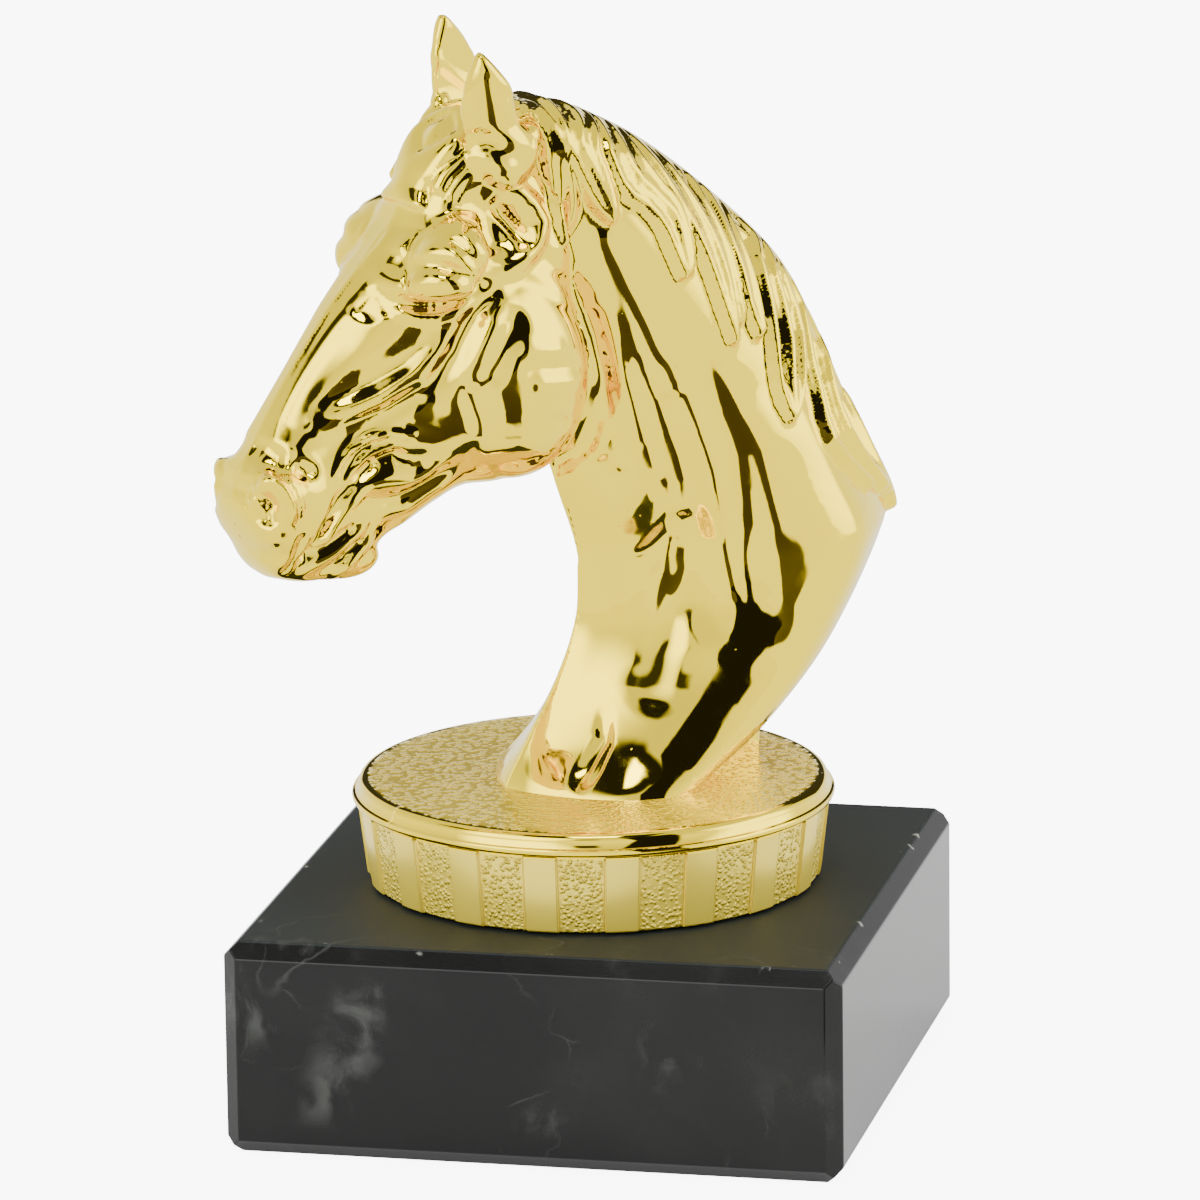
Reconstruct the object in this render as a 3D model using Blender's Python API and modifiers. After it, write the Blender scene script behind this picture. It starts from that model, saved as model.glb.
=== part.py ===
"""Horse trophy: a black marble plinth that carries one gold-plated casting, a
horse's head and neck on a round base with a panelled rim.

Sizes are millimetres in this file and become metres where a mesh is made.
The plinth stands on Z = 0 with its sides along X and Y. The casting is modelled
in its own frame, u forward along the horse's nose, v to its left and w up from
the top of the round base, and it then turns to face a corner of the plinth.
"""

import math

import bmesh
import bpy
import numpy as np
from mathutils import Matrix, Vector

MM = 0.001

# Marble plinth
PLINTH_WIDTH = 60.0
PLINTH_DEPTH = 60.0
PLINTH_HEIGHT = 21.0
PLINTH_CHAMFER = 1.5

# Round base of the casting
SEAT_GAP = 0.3
BASE_FOOT_RADIUS = 22.1
BASE_PANEL_TOP_RADIUS = 22.95
BASE_LIP_RADIUS = 23.45
BASE_BAND_RADIUS = 22.85
BASE_HEIGHT = 9.9
BASE_LIP_HEIGHT = 7.9
BASE_LIP_THICKNESS = 0.7
BASE_EDGE_ROUND = 0.45
PANEL_PAIRS = 18
PLAIN_SHARE = 0.415
PLAIN_STEPS = 2
STIPPLED_STEPS = 3
PANEL_RELIEF = 0.25
PANEL_WALL = math.radians(0.2)

# Horse, in its own frame
HORSE_HEIGHT = 74.4
DRAWN_HEIGHT = 74.4
HORSE_SCALE = HORSE_HEIGHT / DRAWN_HEIGHT
HORSE_HEADING = math.radians(225.0)
FOOT_SINK = 1.0
FUSE_VOXEL = 0.5
FUSED_SMOOTHING = (0.5, 6)
RELIEF_SMOOTHING = (0.4, 2)
SOLID_TRIANGLES = 7300
SECTION_POINTS = 56
NECK_RINGS = 60
HEAD_RINGS = 60

# Neck, low to high: height w, front u, back u, then five half widths at the
# shares of its length that NECK_WIDTH_SHARES gives, throat first.
NECK_WIDTH_SHARES = (0.0, 0.06, 0.22, 0.45, 0.72, 0.93, 1.0)
NECK_SECTIONS = (
    (-3.0, 10.2, -5.4, 3.4, 8.0, 11.9, 12.0, 7.8),
    (0.0, 10.2, -9.0, 3.2, 8.0, 11.6, 12.0, 7.6),
    (4.3, 7.7, -16.2, 2.2, 6.8, 10.7, 11.7, 7.8),
    (9.8, 4.3, -23.3, 1.9, 6.0, 10.0, 11.2, 7.2),
    (15.4, 2.0, -28.4, 1.7, 5.4, 9.8, 11.0, 6.4),
    (20.5, 1.6, -32.9, 1.9, 5.6, 9.8, 10.6, 4.8),
    (23.2, 1.9, -33.9, 2.0, 5.8, 9.8, 10.2, 4.2),
    (28.8, 3.8, -31.3, 2.6, 6.4, 9.8, 9.4, 3.8),
    (35.4, 6.0, -27.8, 3.0, 6.8, 9.6, 8.8, 3.5),
    (42.3, 8.0, -24.3, 3.0, 6.8, 9.2, 8.2, 3.2),
    (48.7, 9.0, -20.2, 3.0, 6.8, 8.6, 7.6, 3.2),
    (55.8, 10.0, -12.5, 3.0, 6.4, 7.8, 6.6, 3.0),
    (61.4, 11.0, -5.0, 3.0, 5.6, 6.6, 5.8, 2.8),
    (65.0, 11.5, 1.6, 2.6, 4.4, 5.2, 4.6, 2.4),
    (67.0, 11.0, 6.4, 1.6, 2.4, 2.8, 2.4, 1.4),
)

# Head, from the poll to the lips: a point (u, w) on the nose line, a point on
# the jaw line, then five half widths between them, nose first.
HEAD_WIDTH_SHARES = (1.0, 0.95, 0.78, 0.55, 0.30, 0.07, 0.0)
HEAD_SECTIONS = (
    (11.5, 67.2, 3.5, 50.0, 2.6, 4.6, 5.6, 5.6, 3.6),
    (16.2, 66.4, 3.6, 42.5, 3.4, 5.6, 7.0, 7.6, 5.0),
    (18.6, 63.4, 5.0, 36.5, 4.0, 6.6, 7.8, 8.6, 6.0),
    (20.4, 60.2, 8.0, 32.4, 4.6, 7.2, 8.2, 9.0, 6.2),
    (22.3, 56.8, 12.0, 30.9, 4.9, 7.4, 8.2, 9.0, 5.8),
    (25.2, 53.8, 16.3, 30.9, 4.2, 6.7, 7.8, 8.2, 5.0),
    (28.2, 50.8, 19.5, 29.6, 3.5, 5.6, 6.9, 6.9, 4.4),
    (30.8, 47.7, 22.3, 28.0, 3.0, 4.6, 5.9, 5.8, 3.8),
    (33.2, 44.6, 24.6, 27.0, 2.7, 4.1, 5.2, 5.2, 3.5),
    (35.4, 41.5, 27.2, 24.8, 2.8, 4.4, 5.2, 5.0, 3.4),
    (37.3, 38.4, 30.2, 24.0, 3.2, 5.2, 5.6, 4.8, 3.2),
    (39.0, 35.9, 33.2, 24.0, 3.4, 5.4, 5.6, 4.6, 3.0),
    (39.9, 33.6, 36.2, 24.8, 3.2, 4.9, 5.2, 4.4, 2.8),
)
MUZZLE_ROUNDING = ((0.88, 0.5), (0.62, 0.85), (0.25, 1.0))
POLL_ROUNDING = ((0.7, 0.7), (0.3, 1.0))

# Rounded masses on each side: centre (u, v, w), radii, lean in the side view.
MASSES = (
    ((19.2, 5.4, 54.8), (5.3, 4.9, 3.0), 0.75),
    ((12.4, 4.4, 42.6), (8.6, 6.3, 10.8), 0.25),
    ((36.6, 3.5, 33.2), (3.2, 2.7, 3.4), -0.5),
    ((29.5, 1.9, 26.3), (4.3, 2.4, 2.2), -0.1),
)

# Ears: foot (u, v, w), tip, half breadth, half thickness, turn about the ear,
# and how far the middle of the ear bows back.
LEFT_EAR = ((13.0, 4.6, 64.0), (15.1, 5.3, 73.7), 2.8, 1.9, 0.25, -0.2)
RIGHT_EAR = ((11.2, -4.2, 64.8), (12.6, -5.4, 75.4), 3.2, 1.9, -0.25, 0.7)
EAR_OUTLINE = ((0.0, 0.72), (0.2, 0.98), (0.42, 1.0), (0.62, 0.82), (0.8, 0.54), (0.93, 0.25), (1.0, 0.06))
EAR_RINGS = 18
EAR_POINTS = 24
EAR_HOLLOW = 2.3

# Modelling strokes seen from the side: height, reach at the two ends, points
# (u, w). A height below zero presses in. Each fades out at STROKE_SPREAD times
# its reach, and all fade where the skin turns towards the middle plane. One of
# LONG_STROKE points or more also sinks to END_HEIGHT over the end of its length.
STROKE_SPREAD = 1.7
LONG_STROKE = 4
STROKE_END = 0.25
END_HEIGHT = 0.3
FACING_FROM = 0.1
FACING_OVER = 0.4
STROKES = (
    # brow and eye
    (0.7, (1.4, 1.0), ((24.7, 53.1), (23.4, 54.3), (22.2, 55.2), (20.6, 55.1), (18.1, 53.0))),
    (0.45, (0.8, 0.7), ((23.3, 52.5), (22.4, 53.6), (20.6, 53.0))),
    (0.5, (0.9, 0.9), ((22.5, 52.5), (21.6, 52.4))),
    (0.35, (0.7, 0.6), ((22.9, 51.4), (21.3, 51.1), (20.3, 51.9))),
    (-0.5, (0.9, 0.8), ((24.7, 50.5), (23.2, 49.7), (20.8, 49.5), (18.4, 51.2))),
    (-0.7, (0.9, 0.7), ((27.1, 50.2), (26.2, 51.6), (25.5, 50.5))),
    (0.5, (0.9, 0.8), ((22.2, 55.4), (20.4, 56.4), (19.1, 55.7), (17.1, 53.6))),
    # temple
    (0.7, (1.1, 1.1), ((15.0, 61.1), (11.6, 59.7), (9.8, 56.8), (11.2, 54.5), (14.5, 53.3), (16.9, 52.1))),
    (-0.9, (1.8, 1.6), ((13.8, 58.2), (14.8, 56.5))),
    (-0.6, (0.8, 0.7), ((13.4, 59.1), (12.2, 57.4), (11.6, 55.3))),
    # side of the nose and crest of the face
    (-0.6, (1.3, 1.1), ((26.9, 51.4), (29.7, 47.6), (32.6, 43.8), (35.4, 40.1), (37.1, 37.8))),
    (-0.8, (1.2, 0.9), ((21.8, 49.1), (23.2, 47.0), (25.3, 45.4), (28.4, 43.4), (32.0, 40.9))),
    (0.9, (1.0, 0.8), ((21.3, 46.6), (23.6, 43.9), (26.9, 42.1), (30.4, 41.0), (32.8, 39.9))),
    (-0.8, (1.1, 0.9), ((21.4, 44.7), (24.0, 42.3), (26.4, 40.5), (29.7, 38.7), (32.6, 36.9))),
    # cheek
    (-0.8, (1.1, 1.0), ((16.2, 50.9), (17.6, 48.8), (19.4, 46.4), (21.1, 44.0), (22.5, 41.2))),
    (0.7, (1.2, 1.2), ((15.1, 50.4), (16.7, 48.1), (18.5, 44.5), (20.0, 41.4))),
    (-0.8, (1.3, 1.2), ((14.5, 48.0), (15.9, 45.9), (17.0, 43.8))),
    (-0.7, (1.1, 1.1), ((18.2, 41.6), (17.5, 39.2))),
    (-0.35, (1.2, 1.2), ((16.5, 35.2), (12.3, 35.2))),
    (-1.3, (1.1, 1.1), ((10.3, 53.9), (7.2, 51.9), (4.0, 48.5), (2.7, 44.8), (2.2, 40.7), (2.3, 36.6),
                        (3.1, 33.1), (5.4, 30.4), (10.5, 29.4))),
    # nostril, mouth and jaw
    (0.7, (0.8, 0.7), ((39.8, 33.5), (39.2, 35.1), (38.1, 35.6), (37.2, 34.8), (36.5, 32.8), (36.7, 31.3))),
    (-1.3, (0.9, 0.7), ((39.2, 33.7), (38.7, 32.8), (38.9, 31.8))),
    (-0.6, (1.0, 0.9), ((37.0, 37.1), (34.6, 35.9))),
    (-0.9, (0.6, 0.6), ((35.5, 25.8), (33.9, 28.2), (32.4, 30.3), (30.5, 31.8))),
    (-0.5, (0.7, 0.6), ((33.0, 30.0), (31.6, 33.4), (29.3, 36.6), (26.4, 38.3), (24.6, 39.0))),
    (0.45, (0.8, 0.8), ((31.2, 33.3), (29.3, 35.6), (27.0, 37.7), (24.6, 38.3), (22.1, 37.4))),
    (-0.6, (1.0, 0.9), ((28.6, 34.9), (25.7, 36.1), (23.1, 35.5))),
    (0.5, (0.8, 0.7), ((30.9, 32.5), (27.6, 34.0), (23.5, 33.5), (20.1, 34.9))),
    (-0.6, (0.7, 0.6), ((28.3, 31.9), (24.6, 31.9), (21.7, 33.4), (19.5, 34.9))),
    (0.5, (0.9, 0.9), ((26.5, 30.3), (23.2, 30.6), (20.9, 32.0), (18.0, 33.1))),
    # neck
    (-0.9, (1.4, 1.8), ((-1.8, 41.0), (-3.6, 36.6), (-6.4, 29.8), (-8.0, 23.4), (-8.2, 17.5), (-10.2, 13.7))),
    (0.8, (1.3, 1.2), ((-4.0, 40.1), (-7.0, 32.8), (-9.9, 23.4), (-10.6, 16.0))),
    (-1.0, (1.2, 2.2), ((-6.1, 43.0), (-8.3, 37.7), (-10.8, 31.5), (-12.1, 24.3), (-12.2, 17.4), (-13.9, 12.4))),
    (-0.45, (1.8, 1.2), ((-14.4, 10.9), (-7.9, 10.1), (-2.3, 9.1))),
    (-0.5, (1.1, 1.0), ((-2.4, 9.3), (-4.7, 13.7), (-6.6, 20.5), (-5.8, 25.1), (-3.9, 21.5), (-1.9, 17.6))),
    (-0.5, (1.6, 1.3), ((-14.3, 8.4), (-8.4, 5.9), (-4.0, 3.5), (0.1, 0.7))),
    (-0.7, (1.0, 0.8), ((1.4, 6.8), (2.0, 4.3), (4.7, 1.2))),
    (0.6, (1.3, 1.2), ((4.2, 51.5), (1.8, 45.4), (-0.5, 38.3), (-2.0, 31.0), (-2.0, 23.6))),
    (-0.5, (0.9, 0.9), ((3.3, 46.5), (1.2, 39.3), (-0.2, 33.1))),
    (0.5, (1.3, 1.1), ((3.0, 53.9), (-0.8, 46.3), (-3.7, 39.6))),
    (0.7, (4.5, 4.5), ((-18.0, 32.4), (-20.5, 20.4))),
    (-0.8, (0.8, 0.6), ((6.6, 61.9), (6.4, 58.5), (6.5, 54.9))),
)

# Mane: strands that lie from the crest down and back, as points (u, w) from root
# to tip. Neighbours that meet at a tip make one lock.
LOCKS = (
    ((8.7, 66.0), (7.9, 64.2), (7.4, 62.0), (7.1, 59.5), (7.2, 57.1), (6.7, 54.7)),
    ((7.7, 66.2), (6.8, 64.3), (6.2, 61.9), (5.8, 59.5), (5.8, 57.0), (6.6, 54.7)),
    ((6.1, 66.4), (6.1, 64.0), (4.8, 60.8), (3.4, 58.0), (2.1, 56.4)),
    ((3.1, 65.7), (4.7, 63.9), (3.7, 61.0), (2.6, 58.4), (2.0, 56.6)),
    ((1.5, 65.0), (3.2, 63.1), (2.6, 60.6), (2.1, 58.4), (1.9, 57.0)),
    ((0.6, 64.5), (1.7, 62.9), (1.3, 60.7), (0.3, 58.7), (-1.9, 57.0), (-3.4, 54.9), (-4.3, 52.5),
     (-5.2, 50.2)),
    ((-0.8, 63.8), (-0.2, 62.0), (-1.1, 59.8), (-3.1, 57.7), (-4.8, 55.6), (-5.3, 53.0), (-5.6, 50.4)),
    ((-1.8, 63.3), (-2.1, 61.2), (-3.6, 58.7), (-5.1, 56.9), (-5.9, 54.5), (-6.1, 51.9), (-5.9, 50.6)),
    ((-2.6, 62.8), (-4.0, 60.7), (-5.1, 58.3), (-6.2, 55.9), (-7.5, 53.1), (-8.5, 50.0), (-9.4, 46.9),
     (-10.5, 43.2)),
    ((-4.0, 62.0), (-6.3, 59.7), (-7.5, 57.3), (-8.7, 54.5), (-9.6, 51.6), (-10.1, 48.8),
     (-10.4, 46.1), (-10.6, 43.6)),
    ((-5.3, 61.2), (-9.5, 58.1), (-9.9, 56.1), (-10.5, 53.4), (-11.0, 50.8), (-11.3, 48.0), (-11.5, 45.2)),
    ((-7.2, 59.9), (-11.2, 56.9), (-11.8, 54.8), (-11.9, 52.0), (-12.3, 49.1), (-12.6, 46.2),
     (-13.6, 43.3)),
    ((-9.1, 58.5), (-12.7, 55.6), (-13.2, 53.6), (-13.4, 50.7), (-13.6, 48.1), (-13.8, 45.5),
     (-14.0, 43.6)),
    ((-10.8, 57.1), (-14.2, 54.3), (-17.3, 51.5), (-15.9, 49.4), (-15.8, 46.5), (-15.6, 43.3),
     (-15.4, 39.8), (-15.7, 36.8), (-16.6, 34.8)),
    ((-12.6, 55.7), (-15.7, 53.0), (-18.8, 50.1), (-18.1, 48.0), (-18.2, 45.0), (-18.1, 41.8),
     (-17.2, 38.7), (-16.7, 35.1)),
    ((-14.3, 54.2), (-17.5, 51.5), (-19.8, 49.0), (-19.9, 46.3), (-20.7, 43.1), (-19.9, 40.2),
     (-18.3, 37.3), (-16.9, 35.1)),
    ((-16.8, 52.1), (-20.2, 48.7), (-22.6, 45.3), (-22.1, 42.3), (-21.4, 39.3), (-21.2, 36.2),
     (-21.0, 33.3), (-22.4, 30.4), (-25.0, 28.1), (-27.4, 26.0)),
    ((-18.3, 50.6), (-21.3, 47.3), (-23.6, 43.6), (-25.7, 39.8), (-25.1, 37.2), (-24.8, 34.1),
     (-25.9, 31.1), (-28.2, 28.0), (-31.0, 24.9)),
    ((-20.2, 48.7), (-22.5, 45.4), (-24.6, 41.8), (-26.8, 37.9), (-28.8, 34.1), (-29.2, 31.2),
     (-30.3, 27.9), (-31.9, 24.3)),
    ((-21.9, 46.4), (-23.8, 43.1), (-25.9, 39.3), (-28.0, 35.4), (-30.1, 31.7), (-31.0, 28.5),
     (-32.3, 25.4), (-32.9, 22.5)),
    ((-23.0, 44.6), (-25.3, 40.6), (-27.4, 36.7), (-29.5, 32.8), (-30.3, 29.9), (-32.1, 26.2)),
)
LOCK_BREADTH = 1.3
LOCK_HEIGHT = 1.0
LOCK_TIP_SHARE = 0.55
LOCK_STEPS = 12
FORELOCK = (
    ((13.4, 67.2), (15.4, 65.4), (17.4, 63.8), (19.8, 61.2), (20.6, 59.2)),
    ((13.6, 66.4), (15.2, 64.0), (16.5, 63.1), (17.9, 62.0), (18.9, 60.7)),
    ((13.6, 64.8), (15.0, 63.2), (16.0, 62.2), (17.0, 61.4), (18.1, 60.2)),
    ((13.8, 63.4), (14.6, 62.4), (15.4, 61.4), (16.4, 60.6), (17.2, 59.8)),
)
FORELOCK_HEIGHT = 0.6
FORELOCK_BREADTH = 0.8
FORELOCK_HALF_WIDTH = 6.0

# Lug behind the neck that ties it to the round base.
LUG_BACK = -16.4
LUG_FRONT = -8.0
LUG_WIDTH = 10.0
LUG_HEIGHT = 4.2


def clear_scene():
    """Remove everything the file opened with."""
    for obj in list(bpy.data.objects):
        bpy.data.objects.remove(obj, do_unlink=True)


def material(name, color, roughness, metallic):
    mat = bpy.data.materials.new(name)
    mat.use_nodes = True
    shader = mat.node_tree.nodes["Principled BSDF"]
    shader.inputs["Base Color"].default_value = (*color, 1.0)
    shader.inputs["Roughness"].default_value = roughness
    shader.inputs["Metallic"].default_value = metallic
    return mat


def mesh_object(name, bm, collection):
    """Put a bmesh into the file as an object."""
    bmesh.ops.recalc_face_normals(bm, faces=bm.faces)
    mesh = bpy.data.meshes.new(name)
    bm.to_mesh(mesh)
    bm.free()
    obj = bpy.data.objects.new(name, mesh)
    collection.objects.link(obj)
    return obj


def apply_modifiers(obj):
    """Replace an object's mesh by what its modifiers make of it."""
    graph = bpy.context.evaluated_depsgraph_get()
    made = bpy.data.meshes.new_from_object(obj.evaluated_get(graph))
    obj.modifiers.clear()
    obj.data = made


def through(rows, count):
    """Points on a smooth curve through rows of numbers, evenly spaced by row."""
    rows = np.asarray(rows, float)
    ends = np.vstack([2 * rows[0] - rows[1], rows, 2 * rows[-1] - rows[-2]])
    place = np.linspace(0.0, len(rows) - 1, count)
    span = np.minimum(place.astype(int), len(rows) - 2)
    t = (place - span)[:, None]
    before, here, there, after = (ends[span + k] for k in range(4))
    return here + 0.5 * t * (
        there - before
        + t * (2 * before - 5 * here + 4 * there - after
               + t * (3 * (here - there) + after - before))
    )


def loft(rings):
    """A closed skin over rings of as many points each, as a bmesh."""
    bm = bmesh.new()
    rows = [[bm.verts.new(point) for point in ring] for ring in rings]
    for lower, upper in zip(rows, rows[1:]):
        for a in range(len(lower)):
            b = (a + 1) % len(lower)
            bm.faces.new((lower[a], lower[b], upper[b], upper[a]))
    bm.faces.new(list(reversed(rows[0])))
    bm.faces.new(rows[-1])
    return bm


def whole_ring(spine, widths):
    """A ring round a spine in the middle plane, alike on the two sides."""
    side = np.concatenate([[0.0], widths, [0.0]])
    half = through(np.column_stack([spine[:, 0], side, spine[:, 1]]), SECTION_POINTS // 2 + 1)
    half[:, 1] = np.maximum(half[:, 1], 0.0)
    other = half[1:-1][::-1] * (1, -1, 1)
    return np.vstack([half, other])


def neck_rings():
    """Level sections of the neck from its foot to the poll."""
    shares = np.array(NECK_WIDTH_SHARES)
    for w, front, back, *widths in through(NECK_SECTIONS, NECK_RINGS):
        spine = np.column_stack([front + shares * (back - front), np.full_like(shares, w)])
        yield whole_ring(spine, widths)


def head_rings():
    """Sections of the head across its length from the poll to the lips."""
    shares = np.array(HEAD_WIDTH_SHARES)[:, None]
    for row in through(HEAD_SECTIONS, HEAD_RINGS):
        nose, jaw = row[0:2], row[2:4]
        yield whole_ring(jaw + shares * (nose - jaw), row[4:9])


def rounded_off(rings, rounding):
    """The rings, with smaller copies of the last one that close its end."""
    rings = list(rings)
    last = rings[-1]
    middle = last.mean(0)
    onward = middle - rings[-2].mean(0)
    onward /= np.linalg.norm(onward)
    return rings + [middle + size * (last - middle) + push * onward for size, push in rounding]


def ear(foot, tip, breadth, thickness, turn, bow):
    """A pointed ear, its inner face pressed hollow and turned outwards."""
    foot, tip = Vector(foot), Vector(tip)
    along = (tip - foot).normalized()
    across = Vector((1, 0, 0)) - along * along.x
    across = Matrix.Rotation(-turn, 3, along) @ across.normalized()
    out = along.cross(across) * (1 if foot.y < 0 else -1)
    outline = through(EAR_OUTLINE, EAR_RINGS)
    rings = []
    for share, size in outline:
        middle = foot + (tip - foot) * share - across * bow * math.sin(math.pi * share)
        ring = []
        for k in range(EAR_POINTS):
            angle = 2 * math.pi * k / EAR_POINTS
            s, c = math.sin(angle), math.cos(angle)
            depth = thickness * c
            if c > 0:
                depth -= EAR_HOLLOW * c * size
            ring.append(middle + across * breadth * size * s + out * depth * size ** 0.5)
        rings.append(ring)
    return loft(rings)


def mass(centre, radii, lean, side):
    """A rounded mass on one side of the head."""
    bm = bmesh.new()
    place = Matrix.Translation((centre[0], side * centre[1], centre[2]))
    shape = Matrix.Rotation(lean, 4, "Y") @ Matrix.Diagonal((*radii, 1.0))
    bmesh.ops.create_icosphere(bm, subdivisions=4, radius=1.0, matrix=place @ shape)
    return bm


def box(low, high):
    """A box between two corners."""
    bm = bmesh.new()
    low, high = Vector(low), Vector(high)
    place = Matrix.Translation((low + high) / 2) @ Matrix.Diagonal((*(high - low), 1.0))
    bmesh.ops.create_cube(bm, size=1.0, matrix=place)
    return bm


def joined(parts):
    """One bmesh that holds all the parts, which may still overlap."""
    whole = bmesh.new()
    for bm in parts:
        bmesh.ops.recalc_face_normals(bm, faces=bm.faces)
        mesh = bpy.data.meshes.new("part")
        bm.to_mesh(mesh)
        bm.free()
        whole.from_mesh(mesh)
        bpy.data.meshes.remove(mesh)
    return whole


def nearest(points, line, reaches):
    """How far points in the side view are from a line, as a share of its reach,
    and how far along the line the nearest place is, from 0 to 1."""
    line = np.asarray(line, float)
    reach = np.linspace(reaches[0], reaches[1], len(line))
    best = np.full(len(points), np.inf)
    along = np.zeros(len(points))
    for k, (a, b) in enumerate(zip(line, line[1:])):
        run = b - a
        t = np.clip((points - a) @ run / (run @ run), 0.0, 1.0)
        far = np.linalg.norm(points - a - t[:, None] * run, axis=1)
        far /= reach[k] + t * (reach[k + 1] - reach[k])
        along = np.where(far < best, (k + t) / (len(line) - 1), along)
        best = np.minimum(best, far)
    return best, along


def hair(points, locks, breadth, height):
    """Height of locks of hair over points in the side view."""
    rise = np.zeros(len(points))
    for line in locks:
        near, _ = nearest(points, through(line, LOCK_STEPS), (breadth, breadth * LOCK_TIP_SHARE))
        rise = np.maximum(rise, height * np.sqrt(np.maximum(1.0 - near ** 2, 0.0)))
    return rise


def stroke_field(points):
    """Height of all the modelling strokes over points in the side view."""
    height = np.zeros(len(points))
    for rise, reaches, line in STROKES:
        near, along = nearest(points, line, (STROKE_SPREAD * reaches[0], STROKE_SPREAD * reaches[1]))
        height_here = rise * (1.0 - np.minimum(near, 1.0) ** 2) ** 2
        if len(line) >= LONG_STROKE:
            ends = np.minimum(np.minimum(along, 1.0 - along) / STROKE_END, 1.0)
            height_here *= END_HEIGHT + (1.0 - END_HEIGHT) * ends
        height += height_here
    return height


def sculpt(mesh):
    """Raise and press the skin along its own normals."""
    count = len(mesh.vertices)
    place = np.empty(count * 3)
    normal = np.empty(count * 3)
    mesh.vertices.foreach_get("co", place)
    mesh.vertex_normals.foreach_get("vector", normal)
    place = place.reshape(-1, 3)
    normal = normal.reshape(-1, 3)
    side = place[:, [0, 2]]
    facing = np.clip((np.abs(normal[:, 1]) - FACING_FROM) / FACING_OVER, 0.0, 1.0)
    height = stroke_field(side) * facing
    height += hair(side, LOCKS, LOCK_BREADTH, LOCK_HEIGHT)
    inner = np.clip(2.0 * (1.0 - np.abs(place[:, 1]) / FORELOCK_HALF_WIDTH), 0.0, 1.0)
    height += hair(side, FORELOCK, FORELOCK_BREADTH, FORELOCK_HEIGHT) * inner
    place += normal * height[:, None]
    mesh.vertices.foreach_set("co", place.ravel())
    mesh.update()


def smoothed(obj, factor, repeats):
    """Even out the skin a little."""
    smooth = obj.modifiers.new("smooth", "SMOOTH")
    smooth.factor = factor
    smooth.iterations = repeats
    apply_modifiers(obj)


def plain_horse(collection):
    """The main masses of the horse as one closed skin, in its own frame."""
    parts = [
        loft(rounded_off(neck_rings(), POLL_ROUNDING)),
        loft(rounded_off(head_rings(), MUZZLE_ROUNDING)),
        ear(*LEFT_EAR),
        ear(*RIGHT_EAR),
        box((LUG_BACK, -LUG_WIDTH / 2, -2 * FOOT_SINK), (LUG_FRONT, LUG_WIDTH / 2, LUG_HEIGHT)),
    ]
    parts += [mass(*shape, side) for shape in MASSES for side in (1, -1)]
    obj = mesh_object("horse", joined(parts), collection)
    fuse = obj.modifiers.new("fuse", "REMESH")
    fuse.mode = "VOXEL"
    fuse.voxel_size = FUSE_VOXEL
    apply_modifiers(obj)
    smoothed(obj, *FUSED_SMOOTHING)
    return obj


def horse(collection):
    """The modelled horse, thinned to the triangles a solid can carry."""
    obj = plain_horse(collection)
    sculpt(obj.data)
    smoothed(obj, *RELIEF_SMOOTHING)
    thin = obj.modifiers.new("thin", "DECIMATE")
    obj.data.calc_loop_triangles()
    thin.ratio = SOLID_TRIANGLES / len(obj.data.loop_triangles)
    apply_modifiers(obj)
    return obj


def base_rings():
    """Rings of the round base from its foot to its top."""
    profile = (
        (0.0, BASE_FOOT_RADIUS - BASE_EDGE_ROUND / 2, 1.0),
        (BASE_EDGE_ROUND, BASE_FOOT_RADIUS, 1.0),
        (BASE_LIP_HEIGHT - PANEL_RELIEF, BASE_PANEL_TOP_RADIUS, 1.0),
        (BASE_LIP_HEIGHT, BASE_LIP_RADIUS - PANEL_RELIEF / 2, 0.0),
        (BASE_LIP_HEIGHT + BASE_LIP_THICKNESS / 2, BASE_LIP_RADIUS, 0.0),
        (BASE_LIP_HEIGHT + BASE_LIP_THICKNESS, BASE_LIP_RADIUS - PANEL_RELIEF, 0.0),
        (BASE_HEIGHT - BASE_EDGE_ROUND, BASE_BAND_RADIUS, 0.0),
        (BASE_HEIGHT, BASE_BAND_RADIUS - BASE_EDGE_ROUND, 0.0),
    )
    pitch = 2 * math.pi / PANEL_PAIRS
    split = pitch * PLAIN_SHARE
    turns = []
    for pair in range(PANEL_PAIRS):
        start = pair * pitch
        turns += [(start + PANEL_WALL + k / PLAIN_STEPS * (split - PANEL_WALL), 1.0)
                  for k in range(PLAIN_STEPS + 1)]
        turns += [(start + split + PANEL_WALL + k / STIPPLED_STEPS * (pitch - split - PANEL_WALL), 0.0)
                  for k in range(STIPPLED_STEPS + 1)]
    for height, radius, panelled in profile:
        ring = []
        for angle, plain in turns:
            reach = radius - panelled * (1.0 - plain) * PANEL_RELIEF
            ring.append((reach * math.cos(angle), reach * math.sin(angle), height))
        yield ring


def chamfered_block():
    """The plinth, with every edge cut off at a slant."""
    size = Vector((PLINTH_WIDTH, PLINTH_DEPTH, PLINTH_HEIGHT))
    bm = box((-size.x / 2, -size.y / 2, 0.0), (size.x / 2, size.y / 2, size.z))
    middle = Vector((0.0, 0.0, size.z / 2))
    for first, second in ((0, 1), (0, 2), (1, 2)):
        for one in (1, -1):
            for two in (1, -1):
                slope = Vector((0.0, 0.0, 0.0))
                slope[first] = one
                slope[second] = two
                edge = middle.copy()
                edge[first] += one * (size[first] / 2 - PLINTH_CHAMFER)
                edge[second] += two * size[second] / 2
                cut = bmesh.ops.bisect_plane(
                    bm, geom=bm.verts[:] + bm.edges[:] + bm.faces[:],
                    plane_co=edge, plane_no=slope, clear_outer=True)
                rim = [e for e in cut["geom_cut"] if isinstance(e, bmesh.types.BMEdge)]
                bmesh.ops.contextual_create(bm, geom=rim)
    return bm


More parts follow.
